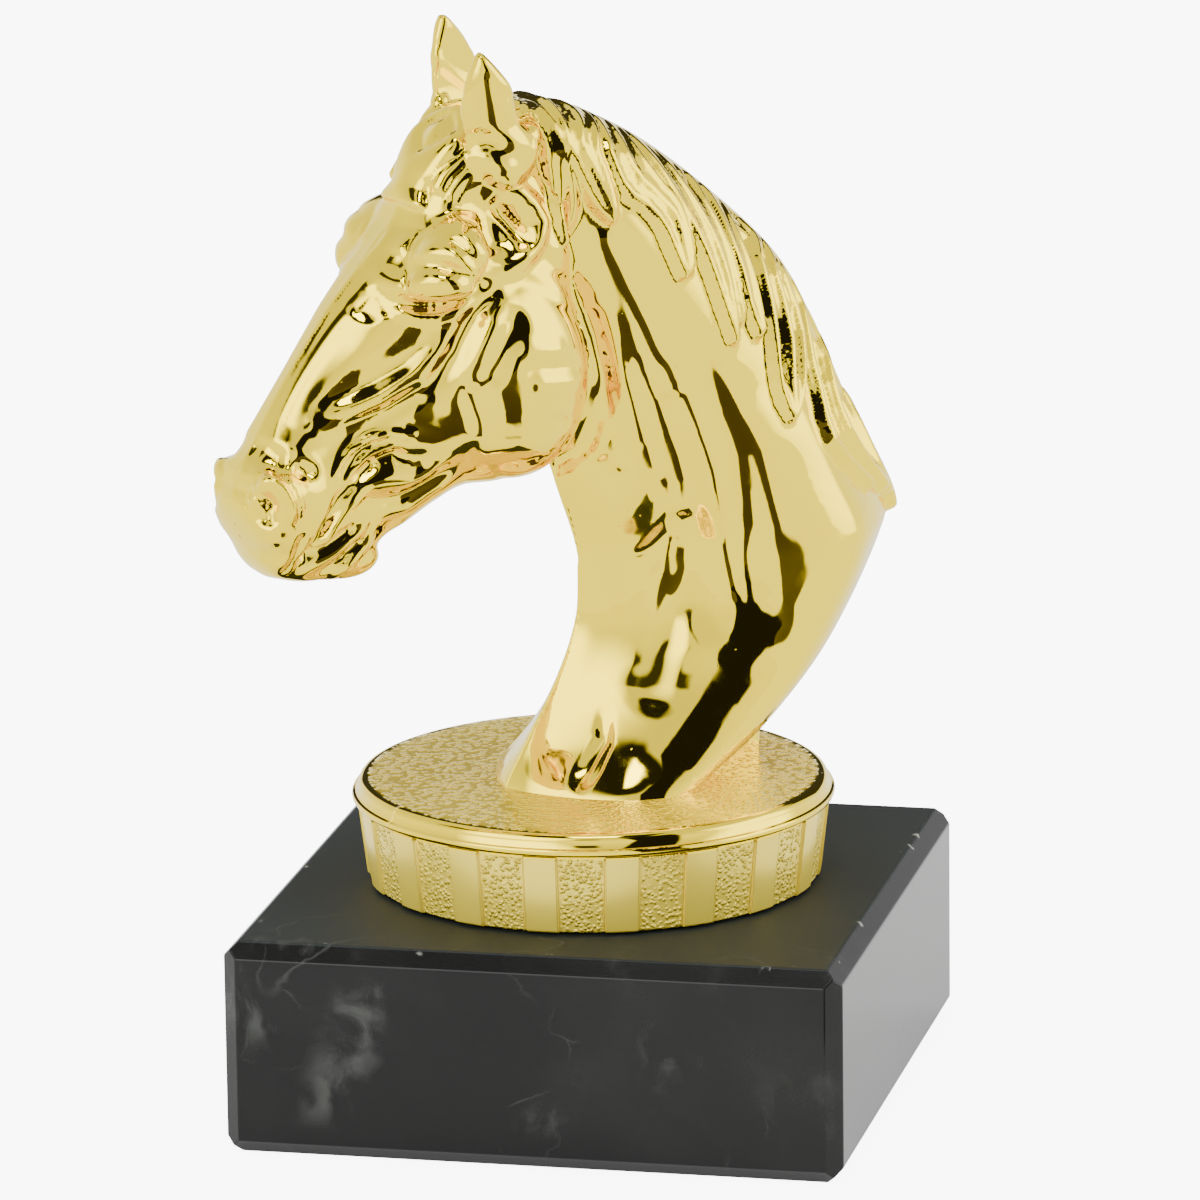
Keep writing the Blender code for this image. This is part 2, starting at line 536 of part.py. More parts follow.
def main():
    """Build the plinth and the casting that stands on it."""
    clear_scene()
    trophy = bpy.data.collections.new("horse_trophy")
    bpy.context.scene.collection.children.link(trophy)
    gold = material("gold_plating", (0.93, 0.74, 0.26), 0.08, 1.0)
    marble = material("black_marble", (0.022, 0.024, 0.021), 0.10, 0.0)

    block = chamfered_block()
    bmesh.ops.scale(block, vec=(MM, MM, MM), verts=block.verts)
    plinth = mesh_object("marble_plinth", block, trophy)
    plinth.data.materials.append(marble)

    animal = horse(trophy)
    turn = Matrix.Rotation(HORSE_HEADING, 4, "Z")
    top = PLINTH_HEIGHT + SEAT_GAP + BASE_HEIGHT
    flip = Matrix.Diagonal((HORSE_SCALE, HORSE_SCALE, HORSE_SCALE, 1.0))
    animal.data.transform(Matrix.Scale(MM, 4) @ Matrix.Translation((0, 0, top)) @ turn @ flip)

    disc = loft(base_rings())
    lift = Matrix.Translation((0, 0, PLINTH_HEIGHT + SEAT_GAP))
    bmesh.ops.transform(disc, matrix=Matrix.Scale(MM, 4) @ lift @ turn, verts=disc.verts)
    figure = mesh_object("horse_figure", disc, trophy)
    figure.data.materials.append(gold)
    union = figure.modifiers.new("union", "BOOLEAN")
    union.operation = "UNION"
    union.solver = "EXACT"
    union.object = animal
    apply_modifiers(figure)
    bpy.data.objects.remove(animal, do_unlink=True)


main()
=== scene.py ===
"""Looks of the horse trophy: gold-plated horse and round base on black marble."""

import logging
import math
from dataclasses import dataclass, field
from enum import Enum
from typing import Any, Iterable, Iterator, Sequence

import bmesh
import bpy
import numpy as np
from mathutils import Matrix, Vector


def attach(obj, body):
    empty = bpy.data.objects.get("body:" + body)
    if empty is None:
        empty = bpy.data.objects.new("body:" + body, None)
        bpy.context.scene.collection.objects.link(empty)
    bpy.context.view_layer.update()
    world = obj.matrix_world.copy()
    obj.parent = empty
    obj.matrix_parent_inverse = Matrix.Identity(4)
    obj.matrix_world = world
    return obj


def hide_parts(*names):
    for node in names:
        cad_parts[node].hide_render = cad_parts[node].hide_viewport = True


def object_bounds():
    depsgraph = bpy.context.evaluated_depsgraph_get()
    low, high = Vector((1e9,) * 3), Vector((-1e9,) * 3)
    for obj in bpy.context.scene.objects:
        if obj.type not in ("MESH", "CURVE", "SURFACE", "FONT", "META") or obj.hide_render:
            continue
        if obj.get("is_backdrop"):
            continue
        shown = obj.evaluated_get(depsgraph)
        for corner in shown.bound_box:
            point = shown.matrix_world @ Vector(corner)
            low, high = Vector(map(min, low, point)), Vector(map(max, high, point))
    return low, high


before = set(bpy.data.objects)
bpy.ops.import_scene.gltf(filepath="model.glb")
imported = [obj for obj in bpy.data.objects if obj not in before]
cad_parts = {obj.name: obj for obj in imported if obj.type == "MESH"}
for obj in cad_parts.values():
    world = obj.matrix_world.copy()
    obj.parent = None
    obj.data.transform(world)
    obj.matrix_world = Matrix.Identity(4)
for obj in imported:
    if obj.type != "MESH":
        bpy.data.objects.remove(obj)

LOG = logging.getLogger("horse_trophy")
MM = 0.001
BODY = "root"

Point = tuple[float, float]
Triple = tuple[float, float, float]
Array = np.ndarray

# Where things stand, in millimetres
PLINTH_HEIGHT = 21.0
SEAT_GAP = 0.3
BASE_HEIGHT = 9.9
HORSE_HEADING = math.radians(225.0)
TABLE_TOP = PLINTH_HEIGHT + SEAT_GAP + BASE_HEIGHT

UPRIGHT = (0.0, 0.0, 1.0)

# Fineness of the horse, its voxels in millimetres, and how deep its lug starts
FUSE_VOXEL = 0.265
RING_POINTS = 72
NECK_RINGS = 90
HEAD_RINGS = 90
FOOT_SINK = 1.0

# Pairs of a plain and a stippled panel, and the plain one's share of a pair
PANEL_PAIRS = 18
PLAIN_SHARE = 0.415

# Neck, low to high: height w, front u, back u, then five half widths at the
# shares of its length that NECK_WIDTH_SHARES gives, throat first.
NECK_WIDTH_SHARES = (0.0, 0.06, 0.22, 0.45, 0.72, 0.93, 1.0)
NECK_SECTIONS = (
    (-3.0, 10.2, -5.4, 3.4, 8.0, 11.9, 12.0, 7.8),
    (0.0, 10.2, -9.0, 3.2, 8.0, 11.6, 12.0, 7.6),
    (4.3, 7.7, -16.2, 2.2, 6.8, 10.7, 11.7, 7.8),
    (9.8, 4.3, -23.3, 1.9, 6.0, 10.0, 11.2, 7.2),
    (15.4, 2.0, -28.4, 1.7, 5.4, 9.8, 11.0, 6.4),
    (20.5, 1.6, -32.9, 1.9, 5.6, 9.8, 10.6, 4.8),
    (23.2, 1.9, -33.9, 2.0, 5.8, 9.8, 10.2, 4.2),
    (28.8, 3.8, -31.3, 2.6, 6.4, 9.8, 9.4, 3.8),
    (35.4, 6.0, -27.8, 3.0, 6.8, 9.6, 8.8, 3.5),
    (42.3, 8.0, -24.3, 3.0, 6.8, 9.2, 8.2, 3.2),
    (48.7, 9.0, -20.2, 3.0, 6.8, 8.6, 7.6, 3.2),
    (55.8, 10.0, -12.5, 3.0, 6.4, 7.8, 6.6, 3.0),
    (61.4, 11.0, -5.0, 3.0, 5.6, 6.6, 5.8, 2.8),
    (65.0, 11.5, 1.6, 2.6, 4.4, 5.2, 4.6, 2.4),
    (67.0, 11.0, 6.4, 1.6, 2.4, 2.8, 2.4, 1.4),
)

# Head, from the poll to the lips: a point (u, w) on the nose line, a point on
# the jaw line, then five half widths between them, nose first.
HEAD_WIDTH_SHARES = (1.0, 0.95, 0.78, 0.55, 0.30, 0.07, 0.0)
HEAD_SECTIONS = (
    (11.5, 67.2, 3.5, 50.0, 2.6, 4.6, 5.6, 5.6, 3.6),
    (16.2, 66.4, 3.6, 42.5, 3.4, 5.6, 7.0, 7.6, 5.0),
    (18.6, 63.4, 5.0, 36.5, 4.0, 6.6, 7.8, 8.6, 6.0),
    (20.4, 60.2, 8.0, 32.4, 4.6, 7.2, 8.2, 9.0, 6.2),
    (22.3, 56.8, 12.0, 30.9, 4.9, 7.4, 8.2, 9.0, 5.8),
    (25.2, 53.8, 16.3, 30.9, 4.2, 6.7, 7.8, 8.2, 5.0),
    (28.2, 50.8, 19.5, 29.6, 3.5, 5.6, 6.9, 6.9, 4.4),
    (30.8, 47.7, 22.3, 28.0, 3.0, 4.6, 5.9, 5.8, 3.8),
    (33.2, 44.6, 24.6, 27.0, 2.7, 4.1, 5.2, 5.2, 3.5),
    (35.4, 41.5, 27.2, 24.8, 2.8, 4.4, 5.2, 5.0, 3.4),
    (37.3, 38.4, 30.2, 24.0, 3.2, 5.2, 5.6, 4.8, 3.2),
    (39.0, 35.9, 33.2, 24.0, 3.4, 5.4, 5.6, 4.6, 3.0),
    (39.9, 33.6, 36.2, 24.8, 3.2, 4.9, 5.2, 4.4, 2.8),
)
MUZZLE_ROUNDING = ((0.88, 0.5), (0.62, 0.85), (0.25, 1.0))
POLL_ROUNDING = ((0.7, 0.7), (0.3, 1.0))

# Rounded masses on each side: centre (u, v, w), radii, lean in the side view.
MASSES = (
    ((19.2, 5.4, 54.8), (5.3, 4.9, 3.0), 0.75),
    ((12.4, 4.4, 42.6), (8.6, 6.3, 10.8), 0.25),
    ((36.6, 3.5, 33.2), (3.2, 2.7, 3.4), -0.5),
    ((29.5, 1.9, 26.3), (4.3, 2.4, 2.2), -0.1),
)

# Ears: foot (u, v, w), tip, half breadth, half thickness, turn about the ear,
# and how far the middle of the ear bows back.
LEFT_EAR = ((13.0, 4.6, 64.0), (15.1, 5.3, 73.7), 2.8, 1.9, 0.25, -0.2)
RIGHT_EAR = ((11.2, -4.2, 64.8), (12.6, -5.4, 75.4), 3.2, 1.9, -0.25, 0.7)
EAR_OUTLINE = ((0.0, 0.72), (0.2, 0.98), (0.42, 1.0), (0.62, 0.82), (0.8, 0.54), (0.93, 0.25), (1.0, 0.06))
EAR_RINGS = 18
EAR_POINTS = 24
EAR_HOLLOW = 2.05

# Modelling strokes seen from the side: height, reach at the two ends, points
# (u, w). A height below zero presses in. Each fades out at STROKE_SPREAD times
# its reach, and all fade where the skin turns towards the middle plane. One of
# LONG_STROKE points or more also sinks to END_HEIGHT over the end of its length.
STROKE_SPREAD = 1.7
LONG_STROKE = 4
STROKE_END = 0.25
END_HEIGHT = 0.3
FACING_FROM = 0.1
FACING_OVER = 0.4
STROKES = (
    (-0.7, (0.9, 0.7), ((27.1, 50.2), (26.2, 51.6), (25.5, 50.5))),
    # temple
    (0.7, (1.1, 1.1), ((15.0, 61.1), (11.6, 59.7), (9.8, 56.8), (11.2, 54.5), (14.5, 53.3), (16.9, 52.1))),
    (-0.9, (1.8, 1.6), ((13.8, 58.2), (14.8, 56.5))),
    (-0.6, (0.8, 0.7), ((13.4, 59.1), (12.2, 57.4), (11.6, 55.3))),
    # side of the nose and crest of the face
    (-0.6, (1.3, 1.1), ((26.9, 51.4), (29.7, 47.6), (32.6, 43.8), (35.4, 40.1), (37.1, 37.8))),
    (-0.8, (1.2, 0.9), ((21.8, 49.1), (23.2, 47.0), (25.3, 45.4), (28.4, 43.4), (32.0, 40.9))),
    (0.9, (1.0, 0.8), ((21.3, 46.6), (23.6, 43.9), (26.9, 42.1), (30.4, 41.0), (32.8, 39.9))),
    (-0.8, (1.1, 0.9), ((21.4, 44.7), (24.0, 42.3), (26.4, 40.5), (29.7, 38.7), (32.6, 36.9))),
    # cheek
    (-0.8, (1.1, 1.0), ((16.2, 50.9), (17.6, 48.8), (19.4, 46.4), (21.1, 44.0), (22.5, 41.2))),
    (0.7, (1.2, 1.2), ((15.1, 50.4), (16.7, 48.1), (18.5, 44.5), (20.0, 41.4))),
    (-0.8, (1.3, 1.2), ((14.5, 48.0), (15.9, 45.9), (17.0, 43.8))),
    (-0.7, (1.1, 1.1), ((18.2, 41.6), (17.5, 39.2))),
    (-0.35, (1.2, 1.2), ((16.5, 35.2), (12.3, 35.2))),
    (-1.3, (1.1, 1.1), ((10.3, 53.9), (7.2, 51.9), (4.0, 48.5), (2.7, 44.8), (2.2, 40.7), (2.3, 36.6),
                        (3.1, 33.1), (5.4, 30.4), (10.5, 29.4))),
    # nostril, mouth and jaw
    (0.7, (0.8, 0.7), ((39.8, 33.5), (39.2, 35.1), (38.1, 35.6), (37.2, 34.8), (36.5, 32.8), (36.7, 31.3))),
    (-1.3, (0.9, 0.7), ((39.2, 33.7), (38.7, 32.8), (38.9, 31.8))),
    (-0.6, (1.0, 0.9), ((37.0, 37.1), (34.6, 35.9))),
    (-0.9, (0.6, 0.6), ((35.5, 25.8), (33.9, 28.2), (32.4, 30.3), (30.5, 31.8))),
    (-0.5, (0.7, 0.6), ((33.0, 30.0), (31.6, 33.4), (29.3, 36.6), (26.4, 38.3), (24.6, 39.0))),
    (0.45, (0.8, 0.8), ((31.2, 33.3), (29.3, 35.6), (27.0, 37.7), (24.6, 38.3), (22.1, 37.4))),
    (-0.6, (1.0, 0.9), ((28.6, 34.9), (25.7, 36.1), (23.1, 35.5))),
    (0.5, (0.8, 0.7), ((30.9, 32.5), (27.6, 34.0), (23.5, 33.5), (20.1, 34.9))),
    (-0.6, (0.7, 0.6), ((28.3, 31.9), (24.6, 31.9), (21.7, 33.4), (19.5, 34.9))),
    (0.5, (0.9, 0.9), ((26.5, 30.3), (23.2, 30.6), (20.9, 32.0), (18.0, 33.1))),
    # neck
    (-0.9, (1.4, 1.8), ((-1.8, 41.0), (-3.6, 36.6), (-6.4, 29.8), (-8.0, 23.4), (-8.2, 17.5),
                        (-10.2, 13.7))),
    (0.8, (1.3, 1.2), ((-4.0, 40.1), (-7.0, 32.8), (-9.9, 23.4), (-10.6, 16.0))),
    (-1.0, (1.2, 2.2), ((-6.1, 43.0), (-8.3, 37.7), (-10.8, 31.5), (-12.1, 24.3), (-12.2, 17.4),
                        (-13.9, 12.4))),
    (-0.25, (2.2, 1.6), ((-14.4, 10.9), (-7.9, 10.1), (-2.3, 9.1))),
    (-0.5, (1.1, 1.0), ((-2.4, 9.3), (-4.7, 13.7), (-6.6, 20.5), (-5.8, 25.1), (-3.9, 21.5), (-1.9, 17.6))),
    (-0.3, (2.0, 1.6), ((-14.3, 8.4), (-8.4, 5.9), (-4.0, 3.5), (0.1, 0.7))),
    (0.6, (1.3, 1.2), ((4.2, 51.5), (1.8, 45.4), (-0.5, 38.3), (-2.0, 31.0), (-2.0, 23.6))),
    (-0.5, (0.9, 0.9), ((3.3, 46.5), (1.2, 39.3), (-0.2, 33.1))),
    (0.5, (1.3, 1.1), ((3.0, 53.9), (-0.8, 46.3), (-3.7, 39.6))),
    (0.7, (4.5, 4.5), ((-18.0, 32.4), (-20.5, 20.4))),
    (-0.8, (0.8, 0.6), ((6.6, 61.9), (6.4, 58.5), (6.5, 54.9))),
)

# Mane: strands that lie from the crest down and back, as points (u, w) from root
# to tip. Neighbours that meet at a tip make one lock.
LOCKS = (
    ((8.7, 66.0), (7.9, 64.2), (7.4, 62.0), (7.1, 59.5), (7.2, 57.1), (6.7, 54.7)),
    ((7.7, 66.2), (6.8, 64.3), (6.2, 61.9), (5.8, 59.5), (5.8, 57.0), (6.6, 54.7)),
    ((6.1, 66.4), (6.1, 64.0), (4.8, 60.8), (3.4, 58.0), (2.1, 56.4)),
    ((3.1, 65.7), (4.7, 63.9), (3.7, 61.0), (2.6, 58.4), (2.0, 56.6)),
    ((1.5, 65.0), (3.2, 63.1), (2.6, 60.6), (2.1, 58.4), (1.9, 57.0)),
    ((0.6, 64.5), (1.7, 62.9), (1.3, 60.7), (0.3, 58.7), (-1.9, 57.0), (-3.4, 54.9), (-4.3, 52.5),
     (-5.2, 50.2)),
    ((-0.8, 63.8), (-0.2, 62.0), (-1.1, 59.8), (-3.1, 57.7), (-4.8, 55.6), (-5.3, 53.0), (-5.6, 50.4)),
    ((-1.8, 63.3), (-2.1, 61.2), (-3.6, 58.7), (-5.1, 56.9), (-5.9, 54.5), (-6.1, 51.9), (-5.9, 50.6)),
    ((-2.6, 62.8), (-4.0, 60.7), (-5.1, 58.3), (-6.2, 55.9), (-7.5, 53.1), (-8.5, 50.0), (-9.4, 46.9),
     (-10.5, 43.2)),
    ((-4.0, 62.0), (-6.3, 59.7), (-7.5, 57.3), (-8.7, 54.5), (-9.6, 51.6), (-10.1, 48.8),
     (-10.4, 46.1), (-10.6, 43.6)),
    ((-5.3, 61.2), (-9.5, 58.1), (-9.9, 56.1), (-10.5, 53.4), (-11.0, 50.8), (-11.3, 48.0), (-11.5, 45.2)),
    ((-7.2, 59.9), (-11.2, 56.9), (-11.8, 54.8), (-11.9, 52.0), (-12.3, 49.1), (-12.6, 46.2),
     (-13.6, 43.3)),
    ((-9.1, 58.5), (-12.7, 55.6), (-13.2, 53.6), (-13.4, 50.7), (-13.6, 48.1), (-13.8, 45.5),
     (-14.0, 43.6)),
    ((-10.8, 57.1), (-14.2, 54.3), (-17.3, 51.5), (-15.9, 49.4), (-15.8, 46.5), (-15.6, 43.3),
     (-15.4, 39.8), (-15.7, 36.8), (-16.6, 34.8)),
    ((-12.6, 55.7), (-15.7, 53.0), (-18.8, 50.1), (-18.1, 48.0), (-18.2, 45.0), (-18.1, 41.8),
     (-17.2, 38.7), (-16.7, 35.1)),
    ((-14.3, 54.2), (-17.5, 51.5), (-19.8, 49.0), (-19.9, 46.3), (-20.7, 43.1), (-19.9, 40.2),
     (-18.3, 37.3), (-16.9, 35.1)),
    ((-16.8, 52.1), (-20.2, 48.7), (-22.6, 45.3), (-22.1, 42.3), (-21.4, 39.3), (-21.2, 36.2),
     (-21.0, 33.3), (-22.4, 30.4), (-25.0, 28.1), (-27.4, 26.0)),
    ((-18.3, 50.6), (-21.3, 47.3), (-23.6, 43.6), (-25.7, 39.8), (-25.1, 37.2), (-24.8, 34.1),
     (-25.9, 31.1), (-28.2, 28.0), (-31.0, 24.9)),
    ((-20.2, 48.7), (-22.5, 45.4), (-24.6, 41.8), (-26.8, 37.9), (-28.8, 34.1), (-29.2, 31.2),
     (-30.3, 27.9), (-31.9, 24.3)),
    ((-21.9, 46.4), (-23.8, 43.1), (-25.9, 39.3), (-28.0, 35.4), (-30.1, 31.7), (-31.0, 28.5),
     (-32.3, 25.4), (-32.9, 22.5)),
    ((-23.0, 44.6), (-25.3, 40.6), (-27.4, 36.7), (-29.5, 32.8), (-30.3, 29.9), (-32.1, 26.2)),
)
LOCK_BREADTH = 1.3
LOCK_HEIGHT = 1.0
LOCK_TIP_SHARE = 0.55
LOCK_STEPS = 12
FORELOCK = (
    ((13.4, 67.2), (15.4, 65.4), (17.4, 63.8), (19.8, 61.2), (20.6, 59.2)),
    ((13.6, 66.4), (15.2, 64.0), (16.5, 63.1), (17.9, 62.0), (18.9, 60.7)),
    ((13.6, 64.8), (15.0, 63.2), (16.0, 62.2), (17.0, 61.4), (18.1, 60.2)),
    ((13.8, 63.4), (14.6, 62.4), (15.4, 61.4), (16.4, 60.6), (17.2, 59.8)),
)
FORELOCK_HEIGHT = 0.9
FORELOCK_BREADTH = 0.8
FORELOCK_HALF_WIDTH = 6.0

# Lug behind the neck that ties it to the round base.
LUG_BACK = -16.4
LUG_FRONT = -8.0
LUG_WIDTH = 10.0
LUG_HEIGHT = 4.2

# Finer strokes than the solid carries, written as the others are: lids, temple,
# nostril, muzzle, mouth, cheek, neck, its foot and the near ear.
FINE_STROKES = (
    (0.9, (1.4, 1.4), ((23.7, 52.2), (22.3, 52.8), (19.3, 52.4))),
    (-0.55, (0.6, 0.5), ((25.2, 51.8), (24.5, 51.0), (23.1, 50.5), (21.2, 50.4), (19.1, 51.0),
     (16.9, 51.8))),
    (0.4, (0.6, 0.6), ((25.6, 50.9), (24.5, 49.9), (22.9, 49.4), (21.2, 49.3), (18.7, 49.9),
     (16.1, 51.1))),
    (-0.55, (0.6, 0.5), ((25.0, 52.4), (24.0, 53.5), (23.0, 54.4), (22.0, 54.6), (20.3, 53.9),
     (16.8, 52.0))),
    (0.55, (0.9, 0.7), ((24.4, 53.7), (23.2, 54.7), (22.3, 55.6), (21.2, 55.9), (19.7, 55.0),
     (15.9, 52.4))),
    (0.3, (0.8, 0.7), ((20.3, 57.4), (19.5, 56.8), (18.4, 55.6), (15.4, 53.5))),
    (-0.35, (0.5, 0.5), ((20.0, 56.4), (19.5, 55.4), (18.1, 53.9))),
    (-0.9, (2.0, 1.8), ((15.7, 58.5), (14.1, 56.2))),
    (-0.6, (0.55, 0.5), ((13.6, 59.1), (12.7, 57.9), (11.8, 56.5), (11.5, 55.5))),
    (0.7, (0.9, 0.8), ((14.7, 51.9), (12.2, 53.5), (10.1, 54.9), (9.4, 56.9), (10.2, 58.8),
     (12.4, 60.8))),
    (0.45, (0.5, 0.45), ((39.8, 33.5), (39.5, 34.3), (38.9, 35.3), (38.3, 35.7), (37.6, 34.8),
     (37.0, 33.2), (36.9, 31.7))),
    (-0.45, (0.4, 0.35), ((38.5, 35.8), (37.8, 35.8), (37.0, 34.7), (36.4, 33.0), (36.1, 31.5))),
    (-0.9, (0.7, 0.5), ((39.5, 34.5), (39.4, 34.0), (39.0, 33.0), (38.6, 31.9))),
    (-0.5, (0.4, 0.35), ((39.7, 32.9), (39.4, 31.6))),
    (-0.5, (0.8, 0.7), ((37.3, 37.6), (37.6, 36.5))),
    (-0.5, (0.6, 0.6), ((35.0, 36.1), (34.4, 35.8))),
    (-0.35, (0.8, 0.7), ((38.3, 27.9), (38.0, 28.5), (37.5, 27.8))),
    (-0.3, (0.35, 0.35), ((36.4, 26.1), (35.9, 27.4), (35.5, 29.4))),
    (-0.6, (0.45, 0.5), ((35.0, 26.8), (33.4, 29.0), (32.1, 30.8), (31.2, 32.7), (29.8, 34.0),
     (27.8, 35.5))),
    (-0.5, (0.4, 0.4), ((34.3, 27.1), (32.1, 28.3), (30.0, 29.5))),
    (0.35, (0.4, 0.4), ((34.5, 28.0), (32.8, 28.9), (31.5, 30.4), (30.2, 31.8), (28.8, 32.7))),
    (0.3, (0.45, 0.45), ((34.2, 25.8), (31.4, 27.4), (28.8, 29.2), (27.8, 30.7))),
    (-0.35, (0.4, 0.4), ((32.4, 25.5), (30.4, 26.7), (28.9, 28.0))),
    (0.3, (0.4, 0.4), ((31.2, 24.4), (29.7, 26.1), (27.7, 27.6), (27.1, 29.4))),
    (0.35, (0.5, 0.45), ((32.0, 33.6), (31.3, 35.2), (29.9, 36.8), (28.0, 38.1), (26.0, 38.5),
     (24.3, 38.2))),
    (-0.4, (0.5, 0.45), ((31.4, 34.4), (30.2, 36.1), (28.5, 37.4), (26.3, 37.9), (24.5, 37.7))),
    (-0.55, (0.7, 0.6), ((28.8, 34.8), (27.4, 35.9), (25.7, 36.3), (24.1, 35.6))),
    (0.22, (1.0, 1.0), ((12.8, 45.5), (10.1, 45.1))),
    (0.22, (1.0, 1.0), ((11.7, 42.2), (7.2, 41.6))),
    (-0.2, (1.0, 1.0), ((12.7, 44.0), (7.6, 43.2))),
    (0.3, (1.2, 1.2), ((16.0, 35.6), (12.4, 35.4))),
    (0.25, (0.8, 0.7), ((7.3, 53.9), (4.2, 50.3), (2.5, 45.4), (0.6, 39.8), (-1.1, 34.2))),
    (-0.25, (0.8, 0.8), ((1.1, 31.6), (0.2, 30.2))),
    (-0.25, (0.6, 0.6), ((10.5, 38.5), (8.6, 37.7))),
    (-0.35, (0.5, 0.45), ((1.6, 7.3), (2.6, 4.9), (4.4, 2.8), (6.1, 1.0))),
    (-0.45, (0.9, 0.9), ((15.2, 65.4), (13.8, 64.3), (11.5, 63.2))),
    (0.35, (0.55, 0.5), ((14.9, 72.8), (12.9, 70.5), (8.7, 67.4), (9.3, 65.2), (10.0, 62.8))),
)

# The first strokes are laid on at STROKE_SHARE of their height. Fine ones fade
# where the skin turns towards the middle plane. On the far side all are softer
# and start where the skin faces further out.
STROKE_SHARE = 0.6
FINE_FACING_OVER = 0.25
FAR_SHARE = 0.45
FAR_FACING_FROM = 0.35

# Swelling at the root of each ear, written as the masses are.
EAR_ROOT = ((12.4, 4.6, 63.6), (3.6, 2.9, 3.4), 0.3)

# Ridges on the mane, along its strands and between neighbours whose tips lie
# within TIPS_MEET, where the locks stand higher than HAIR_FROM.
RIDGE_BREADTH = 0.5
RIDGE_HEIGHT = 0.4
RIDGE_TIP_SHARE = 0.8
TIPS_MEET = 2.4
HAIR_FROM = 0.25


class Side(Enum):
    """The two sides of the horse."""

    LEFT = 1
    RIGHT = -1


class Panel(Enum):
    """The two kinds of field round the base, with the steps each is drawn in."""

    PLAIN = 4
    STIPPLED = 6


@dataclass(frozen=True)
class GoldFinish:
    """Mirror-bright gold plating, with bump heights in millimetres."""

    color: Triple = (1.0, 0.75, 0.015)
    warm: Triple = (0.99, 0.73, 0.01)
    smooth: float = 0.035
    dull: float = 0.10
    ripple: float = 0.02
    pit: float = 0.02
    seam: float = 0.06
    frosted: Triple = (1.0, 0.78, 0.07)
    satin: float = 0.27
    bloom: float = 0.60
    top_bloom: float = 0.6
    grain: float = 0.32
    stipple: float = 0.24
    joint: float = 0.12


@dataclass(frozen=True)
class MarbleFinish:
    """Polished black marble with pale veins, with places in metres."""

    ground: Triple = (0.002, 0.0022, 0.0019)
    cloud: Triple = (0.008, 0.009, 0.0075)
    vein: Triple = (0.10, 0.105, 0.095)
    chip: Triple = (0.32, 0.33, 0.30)
    roughness: float = 0.07
    # Colour of the top face, lighter than the ground: painted light standing in for the bright room that the
    # upward face catches
    painted_top_light: Triple = (0.014, 0.0185, 0.018)
    dull: float = 0.22
    satin: float = 0.62
    chamfer: float = 0.27
    ior: float = 1.34
    hair: float = 0.30
    cracks: float = 0.25
    streaks: float = 0.85
    smoke: float = 0.46
    long_patch: tuple[Triple, float] = ((0.958, 0.0, -0.282), 0.0202)
    small_patch: Triple = (0.0095, -0.030, 0.0125)
    large_chip: Triple = (-0.0191, -0.0288, 0.0208)


class Value:
    """A shader socket that Python arithmetic works on."""

    def __init__(self, shader: "Shader", socket: Any) -> None:
        """Keep the socket and the shader that it belongs to."""
        self.shader = shader
        self.socket = socket

    def _math(self, operation: str, *others: Any) -> "Value":
        """A Math node.

        Args:
            operation: What it does.
            others: Its inputs after this value.

        Returns:
            Its result.
        """
        inputs = dict(enumerate([self, *others]))
        node = self.shader.node("ShaderNodeMath", {"operation": operation}, inputs)
        return Value(self.shader, node.outputs[0])

    def __add__(self, other: Any) -> "Value":
        """The sum."""
        return self._math("ADD", other)

    __radd__ = __add__

    def __sub__(self, other: Any) -> "Value":
        """The difference."""
        return self._math("SUBTRACT", other)

    def __rsub__(self, other: Any) -> "Value":
        """The difference from a number."""
        return self.shader.number(other)._math("SUBTRACT", self)

    def __mul__(self, other: Any) -> "Value":
        """The product."""
        return self._math("MULTIPLY", other)

    __rmul__ = __mul__

    def __truediv__(self, other: Any) -> "Value":
        """The quotient."""
        return self._math("DIVIDE", other)

    def __pow__(self, other: Any) -> "Value":
        """The power."""
        return self._math("POWER", other)

    def __abs__(self) -> "Value":
        """The value without its sign."""
        return self._math("ABSOLUTE")

    def at_least(self, other: Any) -> "Value":
        """The larger of two values."""
        return self._math("MAXIMUM", other)

    def at_most(self, other: Any) -> "Value":
        """The smaller of two values."""
        return self._math("MINIMUM", other)

    def fraction(self) -> "Value":
        """What is left over the whole number."""
        return self._math("FRACT")

    def turn(self, other: "Value") -> "Value":
        """The angle whose sine is this value and whose cosine is the other."""
        return self._math("ARCTAN2", other)

    def fade(self, low: float, high: float, start: float = 0.0, end: float = 1.0) -> "Value":
        """A smooth step.

        Args:
            low: Where it starts.
            high: Where it ends.
            start: The result up to low.
            end: The result from high on.

        Returns:
            The step.
        """
        settings = {"interpolation_type": "SMOOTHSTEP", "clamp": True}
        inputs = {0: self, 1: low, 2: high, 3: start, 4: end}
        return Value(self.shader, self.shader.node("ShaderNodeMapRange", settings, inputs).outputs[0])


